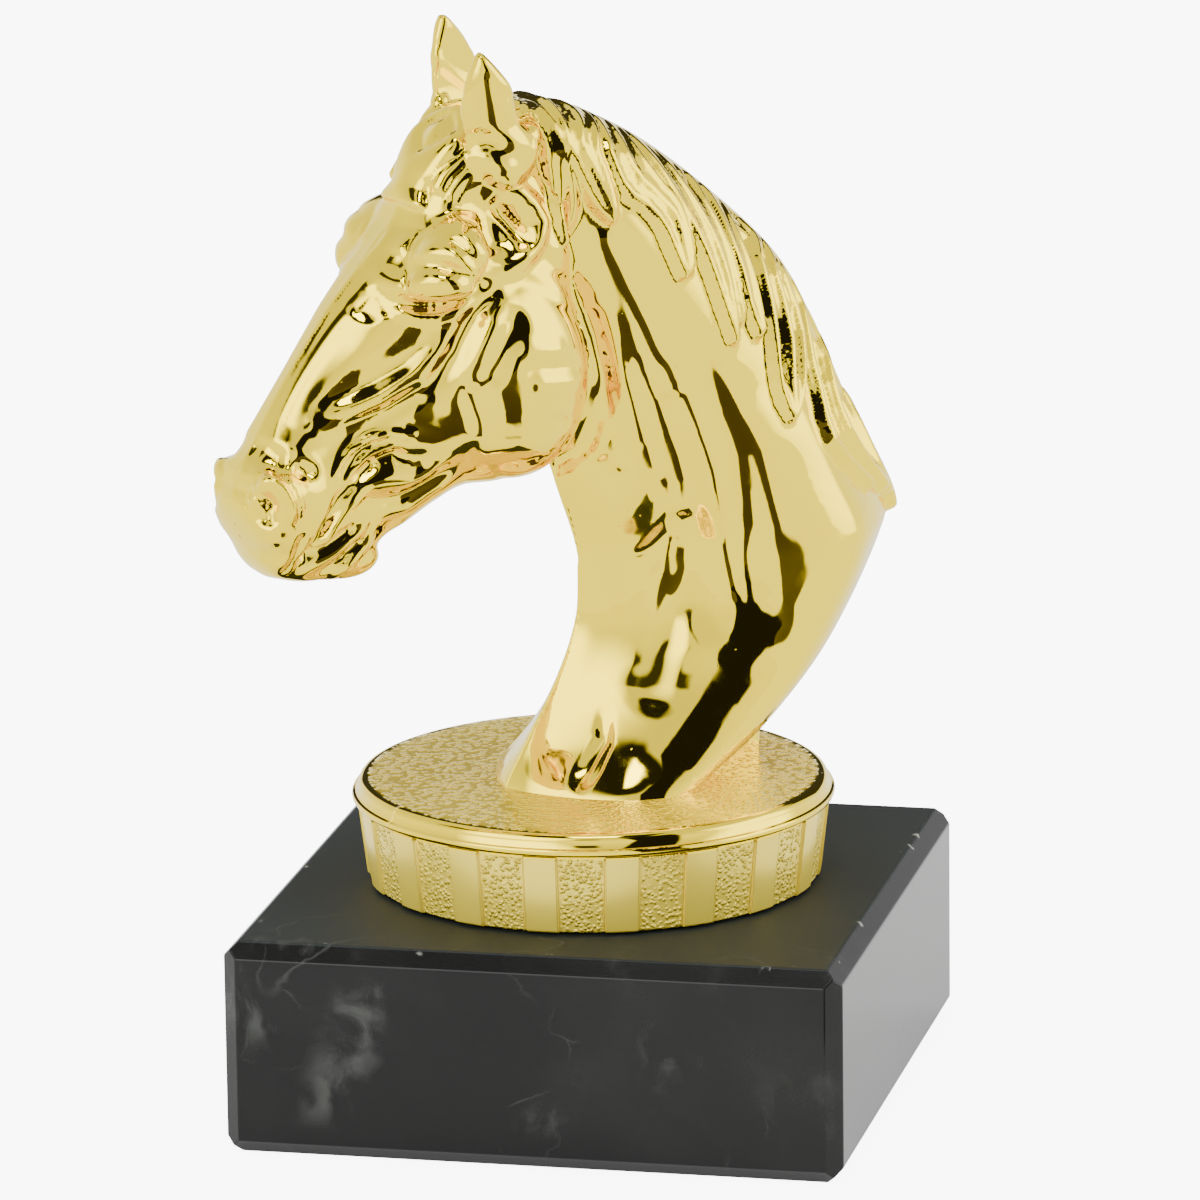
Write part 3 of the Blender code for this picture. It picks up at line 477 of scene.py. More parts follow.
class Shader:
    """Builds the nodes of one material or world."""

    def __init__(self, tree: bpy.types.NodeTree) -> None:
        """Keep the tree to build in."""
        self.tree = tree

    def node(self, kind: str, settings: dict[str, Any] | None = None,
             inputs: dict[Any, Any] | None = None) -> bpy.types.Node:
        """Add a node.

        Args:
            kind: The node's type.
            settings: Its properties.
            inputs: Its sockets, by name or number, each with a value or a link.

        Returns:
            The node.
        """
        made = self.tree.nodes.new(kind)
        for name, value in (settings or {}).items():
            setattr(made, name, value)
        for name, value in (inputs or {}).items():
            self.put(made.inputs[name], value)
        return made

    def put(self, socket: Any, value: Any) -> None:
        """Link a value to a socket, or set the socket to it.

        Args:
            socket: The input.
            value: A value, another node's output, a colour, a vector or a number.
        """
        if isinstance(value, Value):
            self.tree.links.new(value.socket, socket)
        elif isinstance(value, bpy.types.NodeSocket):
            self.tree.links.new(value, socket)
        elif isinstance(value, (tuple, list, Vector)) and socket.type == "RGBA":
            socket.default_value = (*value[:3], 1.0)
        else:
            socket.default_value = value

    def number(self, value: float) -> Value:
        """A constant.

        Args:
            value: The number.

        Returns:
            The number as a value.
        """
        made = self.node("ShaderNodeValue")
        made.outputs[0].default_value = value
        return Value(self, made.outputs[0])

    def along(self, vector: Any, direction: Sequence[float]) -> Value:
        """How far a vector reaches in a direction."""
        made = self.node("ShaderNodeVectorMath", {"operation": "DOT_PRODUCT"}, {0: vector, 1: direction})
        return Value(self, made.outputs["Value"])

    def height(self, vector: Any) -> Value:
        """How high a vector reaches."""
        return self.along(vector, UPRIGHT)

    def distance(self, vector: Any, point: Sequence[float]) -> Value:
        """How far a vector is from a point."""
        made = self.node("ShaderNodeVectorMath", {"operation": "DISTANCE"}, {0: vector, 1: point})
        return Value(self, made.outputs["Value"])

    def scaled(self, vector: Any, factors: Sequence[float]) -> Any:
        """A vector, each part multiplied."""
        made = self.node("ShaderNodeVectorMath", {"operation": "MULTIPLY"}, {0: vector, 1: factors})
        return made.outputs[0]

    def shifted(self, vector: Any, other: Any) -> Any:
        """The sum of two vectors."""
        return self.node("ShaderNodeVectorMath", {"operation": "ADD"}, {0: vector, 1: other}).outputs[0]

    def noise(self, vector: Any, scale: float, detail: float = 2.0, warp: float = 0.0) -> Value:
        """Soft noise about one half."""
        inputs = {"Vector": vector, "Scale": scale, "Detail": detail, "Distortion": warp}
        return Value(self, self.node("ShaderNodeTexNoise", None, inputs).outputs[0])

    def wander(self, vector: Any, scale: float, reach: float) -> Any:
        """A vector moved about by coloured noise.

        Args:
            vector: The vector.
            scale: How fine the noise is.
            reach: How far it moves the vector at most.

        Returns:
            The moved vector.
        """
        made = self.node("ShaderNodeTexNoise", None, {"Vector": vector, "Scale": scale, "Detail": 3.0})
        centred = self.shifted(made.outputs["Color"], (-0.5, -0.5, -0.5))
        return self.shifted(vector, self.scaled(centred, (reach, reach, reach)))

    def cells(self, vector: Any, scale: float, feature: str = "F1") -> Value:
        """Distance within a field of scattered cells."""
        made = self.node("ShaderNodeTexVoronoi", {"feature": feature}, {"Vector": vector, "Scale": scale})
        return Value(self, made.outputs["Distance"])

    def blend(self, share: Any, first: Any, second: Any) -> Any:
        """A colour between two others."""
        made = self.node("ShaderNodeMix", {"data_type": "RGBA"}, {0: share, 6: first, 7: second})
        return made.outputs[2]

    def bump(self, height: Value, depth: float) -> Any:
        """A surface normal from a height in metres."""
        inputs = {"Height": height, "Distance": depth, "Strength": 1.0}
        return self.node("ShaderNodeBump", None, inputs).outputs[0]


class MaterialBook:
    """The finishes, each made once."""

    def __init__(self) -> None:
        """Work out the horse's directions, which the seam and the panels follow."""
        self.forward = (math.cos(HORSE_HEADING), math.sin(HORSE_HEADING), 0.0)
        self.left = (-math.sin(HORSE_HEADING), math.cos(HORSE_HEADING), 0.0)

    def _start(self, name: str) -> tuple[bpy.types.Material, Shader, Any, Any]:
        """A new material.

        Args:
            name: Its name.

        Returns:
            The material, its shader, the place on the object and the surface node.
        """
        made = bpy.data.materials.new(name)
        made.use_nodes = True
        shader = Shader(made.node_tree)
        place = shader.node("ShaderNodeTexCoord").outputs["Object"]
        surface = made.node_tree.nodes["Principled BSDF"]
        return made, shader, place, surface

    def gold(self, name: str, finish: GoldFinish, panelled: bool = False) -> bpy.types.Material:
        """Gold plating.

        Args:
            name: The material's name.
            finish: Its colours and smoothness.
            panelled: Whether it is the round base, with its pebbled fields.

        Returns:
            The material.
        """
        made, shader, place, surface = self._start(name)
        patches = shader.noise(place, 90.0, 3.0)
        surface.inputs["Metallic"].default_value = 1.0
        color = shader.blend(patches.fade(0.35, 0.7), finish.color, finish.warm)
        dull = shader.noise(place, 420.0, 4.0).fade(0.45, 0.8)
        ripple = shader.noise(place, 260.0, 1.0) * finish.ripple
        pits = shader.cells(place, 700.0).fade(0.0, 0.07, 1.0, 0.0)
        pits = pits * shader.noise(place, 150.0).fade(0.52, 0.62)
        relief = ripple - pits * finish.pit
        rough = dull.fade(0.0, 1.0, finish.smooth, finish.dull)
        if panelled:
            rim, table, pebbles = self._pebbles(shader, place, finish)
            relief = relief + pebbles
            rough = rough.at_least(rim * finish.satin).at_least(table * finish.satin)
            color = shader.blend(rim, color, finish.frosted)
            metal = 1.0 - rim * finish.bloom - table * finish.bloom * finish.top_bloom
            shader.put(surface.inputs["Metallic"], metal)
        side = abs(shader.along(place, self.left))
        low = shader.height(place).fade(0.050, 0.056, 1.0, 0.0)
        ahead = shader.along(place, self.forward).fade(-0.002, 0.001)
        seam = side.fade(0.00005, 0.00016, 1.0, 0.0) * low * ahead
        relief = relief + seam * finish.seam
        shader.put(surface.inputs["Base Color"], color)
        shader.put(surface.inputs["Roughness"], rough)
        shader.put(surface.inputs["Normal"], shader.bump(relief, MM))
        return made

    def _pebbles(self, shader: Shader, place: Any, finish: GoldFinish) -> tuple[Value, Value, Value]:
        """The satin fields of the round base.

        Args:
            shader: The material's shader.
            place: The place on the object.
            finish: How high the pebbles are.

        Returns:
            Where the rim is, where the top is, and the height of what is on them.
        """
        along = shader.along(place, self.forward)
        across = shader.along(place, self.left)
        height = shader.height(place)
        radius = (along * along + across * across) ** 0.5
        turn = across.turn(along) / (2.0 * math.pi) * PANEL_PAIRS
        share = (turn + PANEL_PAIRS).fraction()
        border = 0.02
        inside = share.fade(PLAIN_SHARE + border, PLAIN_SHARE + 2 * border)
        inside = inside * share.fade(1.0 - 2 * border, 1.0 - border, 1.0, 0.0)
        rim = height.fade((TABLE_TOP - 2.6) * MM, (TABLE_TOP - 2.3) * MM, 1.0, 0.0)
        top = height.fade((TABLE_TOP - 0.14) * MM, (TABLE_TOP - 0.05) * MM)
        top = top * radius.fade(21.4 * MM, 22.0 * MM, 1.0, 0.0)
        grain = shader.cells(shader.wander(place, 900.0, 0.0004), 1500.0).fade(0.05, 0.6, 1.0, 0.0)
        fine = shader.cells(shader.wander(place, 900.0, 0.0003), 2300.0).fade(0.1, 0.6, 1.0, 0.0)
        joint = abs(share - PLAIN_SHARE).at_most(share).at_most(1.0 - share).fade(0.004, 0.016, 1.0, 0.0)
        raised = top * grain * finish.grain + inside * rim * fine * finish.stipple
        return rim, top, raised - joint * rim * finish.joint

    def marble(self, finish: MarbleFinish) -> bpy.types.Material:
        """Black marble with veins, a smoky patch at the front, chips along its top edge, and painted light on
        its top face.

        Args:
            finish: Its colours and polish.

        Returns:
            The material.
        """
        made, shader, place, surface = self._start("black_marble")
        bent = shader.wander(place, 60.0, 0.012)
        finer = shader.wander(bent, 260.0, 0.002)
        clouds = shader.noise(bent, 45.0, 5.0).fade(0.42, 0.75)
        long_veins = abs(shader.noise(shader.scaled(finer, (1.0, 1.0, 0.55)), 38.0, 2.0) - 0.5)
        hair = long_veins.fade(0.0, 0.005, 1.0, 0.0) * shader.noise(place, 70.0, 2.0).fade(0.54, 0.72)
        cracks = shader.cells(finer, 95.0, "DISTANCE_TO_EDGE").fade(0.0, 0.018, 1.0, 0.0)
        cracks = cracks * shader.noise(place, 110.0, 2.0).fade(0.57, 0.74)
        drift = shader.wander(place, 120.0, 0.008)
        across, offset = finish.long_patch
        lean = abs(shader.along(drift, across) + offset).fade(0.0004, 0.0032, 1.0, 0.0)
        height = shader.height(place)
        reach = height.fade(0.0025, 0.0060) * height.fade(0.0150, 0.0185, 1.0, 0.0)
        long_patch = lean * reach * shader.along(place, (0.0, 1.0, 0.0)).fade(-0.024, -0.018, 1.0, 0.0)
        small_patch = shader.distance(shader.scaled(drift, (0.7, 1.0, 1.0)), finish.small_patch)
        wisps = shader.noise(drift, 55.0, 2.0).fade(0.55, 0.72, 0.0, 0.5)
        smoke = shader.noise(shader.scaled(finer, (1.0, 1.0, 0.5)), 380.0, 5.0)
        smoke = smoke.fade(0.42, 0.66, 0.0, finish.smoke)
        patch = wisps.at_least(small_patch.fade(0.0005, 0.0030, 0.5, 0.0))
        streaks = shader.noise(shader.scaled(finer, (1.0, 1.0, 0.35)), 330.0, 4.0).fade(0.50, 0.72)
        chips = shader.cells(place, 420.0).fade(0.08, 0.24, 1.0, 0.0)
        chips = chips * shader.noise(place, 900.0).fade(0.46, 0.56)
        aside = abs(shader.along(place, (1.0, 0.0, 0.0)))
        aside = aside.at_least(abs(shader.along(place, (0.0, 1.0, 0.0))))
        rim = abs(height - 0.0208).fade(0.0001, 0.0004, 1.0, 0.0) * aside.fade(0.0277, 0.0281)
        chips = chips.at_least(shader.distance(drift, finish.large_chip).fade(0.0003, 0.0009, 1.0, 0.0))
        pale = (hair * finish.hair).at_least(cracks * finish.cracks)
        pale = pale.at_least(patch * streaks * finish.streaks)
        pale = pale.at_least(long_patch * smoke.at_least(streaks)).at_least(chips * rim)
        above = height.fade(PLINTH_HEIGHT * MM - 0.0002, PLINTH_HEIGHT * MM - 0.0001)
        slanted = height.fade((PLINTH_HEIGHT - 1.5) * MM, (PLINTH_HEIGHT - 1.4) * MM)
        # The top face takes a lighter colour: painted light on the upward face. Its satin roughness below is
        # real finish.
        ground = shader.blend(above, shader.blend(clouds, finish.ground, finish.cloud), finish.painted_top_light)
        veined = shader.blend(pale, ground, finish.vein)
        shader.put(surface.inputs["Base Color"], shader.blend(chips * rim, veined, finish.chip))
        wear = pale.at_least(shader.noise(place, 600.0, 3.0).fade(0.55, 0.85) * 0.4)
        rough = wear.fade(0.0, 1.0, finish.roughness, finish.dull)
        rough = rough.at_least(slanted * finish.chamfer).at_least(above * finish.satin)
        shader.put(surface.inputs["Roughness"], rough)
        relief = shader.noise(place, 1800.0, 2.0) * 0.002 - (cracks + hair) * 0.006 - chips * rim * 0.05
        shader.put(surface.inputs["Normal"], shader.bump(relief, MM))
        surface.inputs["IOR"].default_value = finish.ior
        return made


def linked(name: str, mesh: bpy.types.Mesh) -> bpy.types.Object:
    """Put a mesh into the scene.

    Args:
        name: The object's name.
        mesh: The mesh.

    Returns:
        The object.
    """
    made = bpy.data.objects.new(name, mesh)
    bpy.context.scene.collection.objects.link(made)
    return made


def only(obj: bpy.types.Object) -> None:
    """Make an object the only one selected, and the active one.

    Args:
        obj: The object.
    """
    bpy.ops.object.select_all(action="DESELECT")
    obj.select_set(True)
    bpy.context.view_layer.objects.active = obj


def apply_modifiers(obj: bpy.types.Object) -> None:
    """Apply every modifier of an object.

    Args:
        obj: The object.
    """
    only(obj)
    for modifier in list(obj.modifiers):
        bpy.ops.object.modifier_apply(modifier=modifier.name)


def finished(obj: bpy.types.Object, material: bpy.types.Material, node: str) -> bpy.types.Object:
    """Give a piece its material and its place in the frame.

    Args:
        obj: The piece.
        material: Its finish.
        node: The solid that it stands for.

    Returns:
        The piece.
    """
    obj.data.materials.clear()
    obj.data.materials.append(material)
    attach(obj, BODY)
    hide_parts(node)
    LOG.info("%s: %d faces", obj.name, len(obj.data.polygons))
    return obj


@dataclass
class MarblePlinth:
    """The chamfered marble block, in millimetres."""

    width: float = 60.0
    depth: float = 60.0
    height: float = PLINTH_HEIGHT
    chamfer: float = 1.5
    polish: float = 0.16

    def build(self, materials: MaterialBook) -> bpy.types.Object:
        """Cut a cube's edges off at a slant and take their sharpness off.

        Args:
            materials: The finishes.

        Returns:
            The block.
        """
        bpy.ops.mesh.primitive_cube_add(size=1.0)
        block = bpy.context.object
        block.name = "marble_block"
        size = Vector((self.width, self.depth, self.height)) * MM
        bpy.ops.object.mode_set(mode="EDIT")
        bpy.ops.mesh.select_all(action="SELECT")
        bpy.ops.transform.resize(value=size)
        bpy.ops.transform.translate(value=(0.0, 0.0, size.z / 2))
        for edge in self._edges():
            self._cut(size, *edge)
        bpy.ops.object.mode_set(mode="OBJECT")
        bpy.ops.object.shade_smooth()
        soften = block.modifiers.new("soften", "BEVEL")
        soften.width = self.polish * MM
        soften.segments = 2
        soften.limit_method = "ANGLE"
        soften.angle_limit = math.radians(20.0)
        soften.harden_normals = True
        apply_modifiers(block)
        return finished(block, materials.marble(MarbleFinish()), "marble_plinth")

    @staticmethod
    def _edges() -> Iterator[tuple[int, int, int, int]]:
        """The twelve edges, as two of the axes with the side of the block on each."""
        for first, second in ((0, 1), (0, 2), (1, 2)):
            yield from ((first, second, one, two) for one in (1, -1) for two in (1, -1))

    def _cut(self, size: Vector, first: int, second: int, one: int, two: int) -> None:
        """Cut one edge off.

        Args:
            size: The block's size.
            first: The first axis across the edge.
            second: The second one.
            one: The side of the block on the first axis.
            two: The side on the second one.
        """
        slope = Vector((0.0, 0.0, 0.0))
        slope[first] = one
        slope[second] = two
        edge = Vector((0.0, 0.0, size.z / 2))
        edge[first] += one * (size[first] / 2 - self.chamfer * MM)
        edge[second] += two * size[second] / 2
        bpy.ops.mesh.select_all(action="SELECT")
        bpy.ops.mesh.bisect(plane_co=edge, plane_no=slope, use_fill=True, clear_outer=True)


@dataclass
class RoundBase:
    """The round base with its lip and its panelled rim, in its own frame and in millimetres."""

    foot_radius: float = 22.1
    panel_top_radius: float = 22.95
    lip_radius: float = 23.45
    band_radius: float = 22.85
    lip_height: float = 7.9
    lip_thickness: float = 0.7
    edge: float = 0.45
    relief: float = 0.25
    turn_over: float = 0.8
    top_radii: Triple = (20.0, 14.0, 7.0)
    wall: float = math.radians(0.2)
    steps: dict[Panel, int] = field(default_factory=lambda: {kind: kind.value for kind in Panel})

    def profile(self) -> list[tuple[float, float, float]]:
        """The outline from the foot to the top.

        Returns:
            Rows of height, radius and how far the panels show.
        """
        rows = [
            (0.0, self.foot_radius - self.edge / 2, 1.0),
            (self.edge / 3, self.foot_radius - self.edge / 8, 1.0),
            (self.edge, self.foot_radius, 1.0),
            (self.lip_height - self.relief - 0.06, self.panel_top_radius, 1.0),
            (self.lip_height - self.relief, self.panel_top_radius, 1.0),
            (self.lip_height - 0.05, self.lip_radius - self.relief / 2 - 0.08, 0.0),
            (self.lip_height, self.lip_radius - self.relief / 2, 0.0),
        ]
        for k in range(5):
            angle = math.radians(-50.0 + 25.0 * k)
            rows.append((
                self.lip_height + self.lip_thickness / 2 * (1.0 + math.sin(angle)),
                self.lip_radius - 0.2 * (1.0 - math.cos(angle)), 0.0))
        rows.append((self.lip_height + self.lip_thickness + 0.02, self.lip_radius - 0.32, 0.0))
        for k in range(9):
            angle = math.radians(90.0) * k / 8
            rows.append((
                BASE_HEIGHT - self.turn_over + self.turn_over * math.sin(angle),
                self.band_radius - self.turn_over * (1.0 - math.cos(angle)) * 0.9, 0.0))
        return rows + [(BASE_HEIGHT, radius, 0.0) for radius in self.top_radii]

    def turns(self) -> list[tuple[float, float]]:
        """The points of a ring.

        Returns:
            Their angles, each with 1 in a plain panel and 0 in a stippled one.
        """
        pitch = 2 * math.pi / PANEL_PAIRS
        split = pitch * PLAIN_SHARE
        spans = ((Panel.PLAIN, 0.0, split), (Panel.STIPPLED, split, pitch))
        return [
            (pair * pitch + low + self.wall + k / self.steps[kind] * (high - low - self.wall),
             1.0 if kind is Panel.PLAIN else 0.0)
            for pair in range(PANEL_PAIRS)
            for kind, low, high in spans
            for k in range(self.steps[kind] + 1)
        ]

    def _ring(self, height: float, radius: float, panelled: float) -> list[Triple]:
        """One ring of the base.

        Args:
            height: How high it lies.
            radius: Its radius in the plain panels.
            panelled: How far the panels show.

        Returns:
            Its points.
        """
        ring = []
        for angle, plain in self.turns():
            reach = radius - panelled * (1.0 - plain) * self.relief
            ring.append((reach * math.cos(angle), reach * math.sin(angle), height))
        return ring

    def build(self, materials: MaterialBook) -> bpy.types.Object:
        """Skin the rings of the base.

        Args:
            materials: The finishes.

        Returns:
            The base.
        """
        bm = loft([self._ring(*row) for row in self.profile()])
        lift = Matrix.Translation((0.0, 0.0, PLINTH_HEIGHT + SEAT_GAP))
        turn = Matrix.Rotation(HORSE_HEADING, 4, "Z")
        bmesh.ops.transform(bm, matrix=Matrix.Scale(MM, 4) @ lift @ turn, verts=bm.verts)
        base = mesh_object("round_base", bm)
        only(base)
        bpy.ops.object.shade_smooth_by_angle(angle=math.radians(32.0))
        return finished(base, materials.gold("gold_base", GoldFinish(), True), "horse_figure")


def mesh_object(name: str, bm: bmesh.types.BMesh) -> bpy.types.Object:
    """Put a bmesh into the scene, its faces pointing outwards.

    Args:
        name: The object's name.
        bm: The bmesh, which is freed.

    Returns:
        The object.
    """
    bmesh.ops.recalc_face_normals(bm, faces=bm.faces)
    mesh = bpy.data.meshes.new(name)
    bm.to_mesh(mesh)
    bm.free()
    return linked(name, mesh)


def through(rows: Any, count: int) -> Array:
    """Points on a smooth curve through rows of numbers, evenly spaced by row.

    Args:
        rows: The rows, all as long.
        count: How many points.

    Returns:
        The points, as rows of the same length.
    """
    rows = np.asarray(rows, float)
    ends = np.vstack([2 * rows[0] - rows[1], rows, 2 * rows[-1] - rows[-2]])
    place = np.linspace(0.0, len(rows) - 1, count)
    span = np.minimum(place.astype(int), len(rows) - 2)
    t = (place - span)[:, None]
    before, here, there, after = (ends[span + k] for k in range(4))
    return here + 0.5 * t * (
        there - before
        + t * (2 * before - 5 * here + 4 * there - after
               + t * (3 * (here - there) + after - before))
    )


def loft(rings: Sequence[Any]) -> bmesh.types.BMesh:
    """A closed skin over rings.

    Args:
        rings: The rings, each of as many points.

    Returns:
        The skin.
    """
    bm = bmesh.new()
    rows = [[bm.verts.new(point) for point in ring] for ring in rings]
    for lower, upper in zip(rows, rows[1:]):
        for a in range(len(lower)):
            b = (a + 1) % len(lower)
            bm.faces.new((lower[a], lower[b], upper[b], upper[a]))
    bm.faces.new(list(reversed(rows[0])))
    bm.faces.new(rows[-1])
    return bm


def nearest(points: Array, line: Any, reaches: tuple[float, float]) -> tuple[Array, Array]:
    """How far points in the side view are from a line.

    Args:
        points: The points, (u, w).
        line: The line's own points.
        reaches: How far the line reaches at its two ends.

    Returns:
        The distance as a share of the reach, and how far along the line the
        nearest place is, from 0 to 1.
    """
    line = np.asarray(line, float)
    reach = np.linspace(reaches[0], reaches[1], len(line))
    widest = max(reaches)
    best = np.full(len(points), np.inf)
    along = np.zeros(len(points))
    near = (points >= line.min(0) - widest).all(1) & (points <= line.max(0) + widest).all(1)
    some = points[near]
    found = np.full(len(some), np.inf)
    place = np.zeros(len(some))
    for k, (a, b) in enumerate(zip(line, line[1:])):
        run = b - a
        t = np.clip((some - a) @ run / (run @ run), 0.0, 1.0)
        far = np.linalg.norm(some - a - t[:, None] * run, axis=1)
        far /= reach[k] + t * (reach[k + 1] - reach[k])
        place = np.where(far < found, (k + t) / (len(line) - 1), place)
        found = np.minimum(found, far)
    best[near] = found
    along[near] = place
    return best, along


@dataclass
class Horse:
    """The horse's head and neck, in its own frame until it is placed."""

    ring_points: int = RING_POINTS
    smooth_share: float = 0.5
    smooth_repeats: int = 12
    after_share: float = 0.4
    after_repeats: int = 2

    def build(self, materials: MaterialBook) -> list[bpy.types.Object]:
        """Fuse the masses, raise and press the skin, and part it in two.

        Args:
            materials: The finishes.

        Returns:
            The two halves of the horse.
        """
        obj = mesh_object("horse", self._joined(self._parts()))
        fuse = obj.modifiers.new("fuse", "REMESH")
        fuse.mode = "VOXEL"
        fuse.voxel_size = FUSE_VOXEL
        fuse.use_smooth_shade = True
        apply_modifiers(obj)
        self._even(obj, self.smooth_share, self.smooth_repeats)
        self._sculpt(obj.data)
        self._even(obj, self.after_share, self.after_repeats)
        gold = materials.gold("gold_plating", GoldFinish())
        halves = [finished(self._half(obj.data, side), gold, "horse_figure") for side in Side]
        bpy.data.objects.remove(obj, do_unlink=True)
        return halves

    @staticmethod
    def _half(whole: bpy.types.Mesh, side: Side) -> bpy.types.Object:
        """One side of the horse, parted where its mould parts, and put in place.

        Args:
            whole: The horse in its own frame.
            side: The side to keep.

        Returns:
            The half, shaded as part of the whole.
        """
        count = len(whole.vertices)
        normal = np.empty(count * 3)
        whole.vertex_normals.foreach_get("vector", normal)
        bm = bmesh.new()
        bm.from_mesh(whole)
        kept = bm.verts.layers.int.new("whole_index")
        for vert in bm.verts:
            vert[kept] = vert.index
        gone = [face for face in bm.faces if side.value * face.calc_center_median().y < 0.0]
        bmesh.ops.delete(bm, geom=gone, context="FACES")
        mesh = bpy.data.meshes.new(f"horse_{side.name.lower()}")
        places = [vert[kept] for vert in bm.verts]
        bm.verts.layers.int.remove(kept)
        bm.to_mesh(mesh)
        bm.free()
        turn = Matrix.Rotation(HORSE_HEADING, 4, "Z")
        mesh.transform(Matrix.Scale(MM, 4) @ Matrix.Translation((0.0, 0.0, TABLE_TOP)) @ turn)
        mesh.shade_smooth()
        facing = normal.reshape(-1, 3)[places] @ np.array(turn.to_3x3()).T
        mesh.normals_split_custom_set_from_vertices(facing.tolist())
        return linked(mesh.name, mesh)

    def _parts(self) -> list[bmesh.types.BMesh]:
        """The closed shapes that the horse is fused from.

        Returns:
            Neck, head, ears, lug and the masses on both sides.
        """
        parts = [
            loft(self._rounded_off(list(self._neck_rings()), POLL_ROUNDING)),
            loft(self._rounded_off(list(self._head_rings()), MUZZLE_ROUNDING)),
            self._ear(*LEFT_EAR),
            self._ear(*RIGHT_EAR),
            self._lug(),
        ]
        return parts + [self._mass(*shape, side) for shape in (*MASSES, EAR_ROOT) for side in Side]

    def _whole_ring(self, spine: Array, widths: Iterable[float]) -> Array:
        """A ring round a spine in the middle plane, alike on the two sides.

        Args:
            spine: The spine's points, (u, w).
            widths: The half widths at the points between its ends.

        Returns:
            The ring's points.
        """
        side = np.concatenate([[0.0], list(widths), [0.0]])
        half = through(np.column_stack([spine[:, 0], side, spine[:, 1]]), self.ring_points // 2 + 1)
        half[:, 1] = np.maximum(half[:, 1], 0.0)
        return np.vstack([half, half[1:-1][::-1] * (1, -1, 1)])

    def _neck_rings(self) -> Iterator[Array]:
        """The neck, from its foot to the poll.

        Returns:
            Its level rings.
        """
        shares = np.array(NECK_WIDTH_SHARES)
        for w, front, back, *widths in through(NECK_SECTIONS, NECK_RINGS):
            spine = np.column_stack([front + shares * (back - front), np.full_like(shares, w)])
            yield self._whole_ring(spine, widths)

    def _head_rings(self) -> Iterator[Array]:
        """The head, from the poll to the lips.

        Returns:
            Its rings across its length.
        """
        shares = np.array(HEAD_WIDTH_SHARES)[:, None]
        for row in through(HEAD_SECTIONS, HEAD_RINGS):
            nose, jaw = row[0:2], row[2:4]
            yield self._whole_ring(jaw + shares * (nose - jaw), row[4:9])

    @staticmethod
    def _rounded_off(rings: list[Array], rounding: Sequence[Point]) -> list[Array]:
        """Close an end with smaller copies of the last ring.

        Args:
            rings: The rings.
            rounding: The size of each copy, and how far it lies onward.

        Returns:
            The rings with the copies.
        """
        last = rings[-1]
        middle = last.mean(0)
        onward = middle - rings[-2].mean(0)
        onward /= np.linalg.norm(onward)
        return rings + [middle + size * (last - middle) + push * onward for size, push in rounding]

    @staticmethod
    def _ear(foot: Any, tip: Any, breadth: float, thickness: float, turn: float,
             bow: float) -> bmesh.types.BMesh:
        """A pointed ear, its inner face pressed hollow and turned outwards.

        Args:
            foot: Where it stands.
            tip: Where it ends.
            breadth: Its half breadth.
            thickness: Its half thickness.
            turn: How far it is turned about itself.
            bow: How far its middle bows back.

        Returns:
            The ear.
        """
        foot, tip = Vector(foot), Vector(tip)
        along = (tip - foot).normalized()
        across = Vector((1, 0, 0)) - along * along.x
        across = Matrix.Rotation(-turn, 3, along) @ across.normalized()
        out = along.cross(across) * (1 if foot.y < 0 else -1)
        rings = []
        for share, size in through(EAR_OUTLINE, EAR_RINGS):
            middle = foot + (tip - foot) * share - across * bow * math.sin(math.pi * share)
            ring = []
            for k in range(EAR_POINTS):
                angle = 2 * math.pi * k / EAR_POINTS
                s, c = math.sin(angle), math.cos(angle)
                depth = thickness * c
                if c > 0:
                    depth -= EAR_HOLLOW * c * size
                ring.append(middle + across * breadth * size * s + out * depth * size ** 0.5)
            rings.append(ring)
        return loft(rings)

    @staticmethod
    def _mass(centre: Any, radii: Any, lean: float, side: Side) -> bmesh.types.BMesh:
        """A rounded mass on one side of the head.

        Args:
            centre: Its middle on the left side.
            radii: Its radii.
            lean: How far it leans in the side view.
            side: The side that it is on.

        Returns:
            The mass.
        """
        bm = bmesh.new()
        place = Matrix.Translation((centre[0], side.value * centre[1], centre[2]))
        shape = Matrix.Rotation(lean, 4, "Y") @ Matrix.Diagonal((*radii, 1.0))
        bmesh.ops.create_icosphere(bm, subdivisions=4, radius=1.0, matrix=place @ shape)
        return bm

    @staticmethod
    def _lug() -> bmesh.types.BMesh:
        """The lug that ties the neck to the round base.

        Returns:
            The lug.
        """
        bm = bmesh.new()
        low = Vector((LUG_BACK, -LUG_WIDTH / 2, -2 * FOOT_SINK))
        high = Vector((LUG_FRONT, LUG_WIDTH / 2, LUG_HEIGHT))
        place = Matrix.Translation((low + high) / 2) @ Matrix.Diagonal((*(high - low), 1.0))
        bmesh.ops.create_cube(bm, size=1.0, matrix=place)
        return bm

    @staticmethod
    def _joined(parts: list[bmesh.types.BMesh]) -> bmesh.types.BMesh:
        """Put the parts together, still overlapping.

        Args:
            parts: The parts, which are freed.

        Returns:
            One bmesh that holds them all.
        """
        whole = bmesh.new()
        for bm in parts:
            bmesh.ops.recalc_face_normals(bm, faces=bm.faces)
            mesh = bpy.data.meshes.new("part")
            bm.to_mesh(mesh)
            bm.free()
            whole.from_mesh(mesh)
            bpy.data.meshes.remove(mesh)
        return whole

    @staticmethod
    def _even(obj: bpy.types.Object, share: float, repeats: int) -> None:
        """Even out the skin a little.

        Args:
            obj: The horse.
            share: How far each point moves towards its neighbours.
            repeats: How often.
        """
        smooth = obj.modifiers.new("smooth", "SMOOTH")
        smooth.factor = share
        smooth.iterations = repeats
        apply_modifiers(obj)

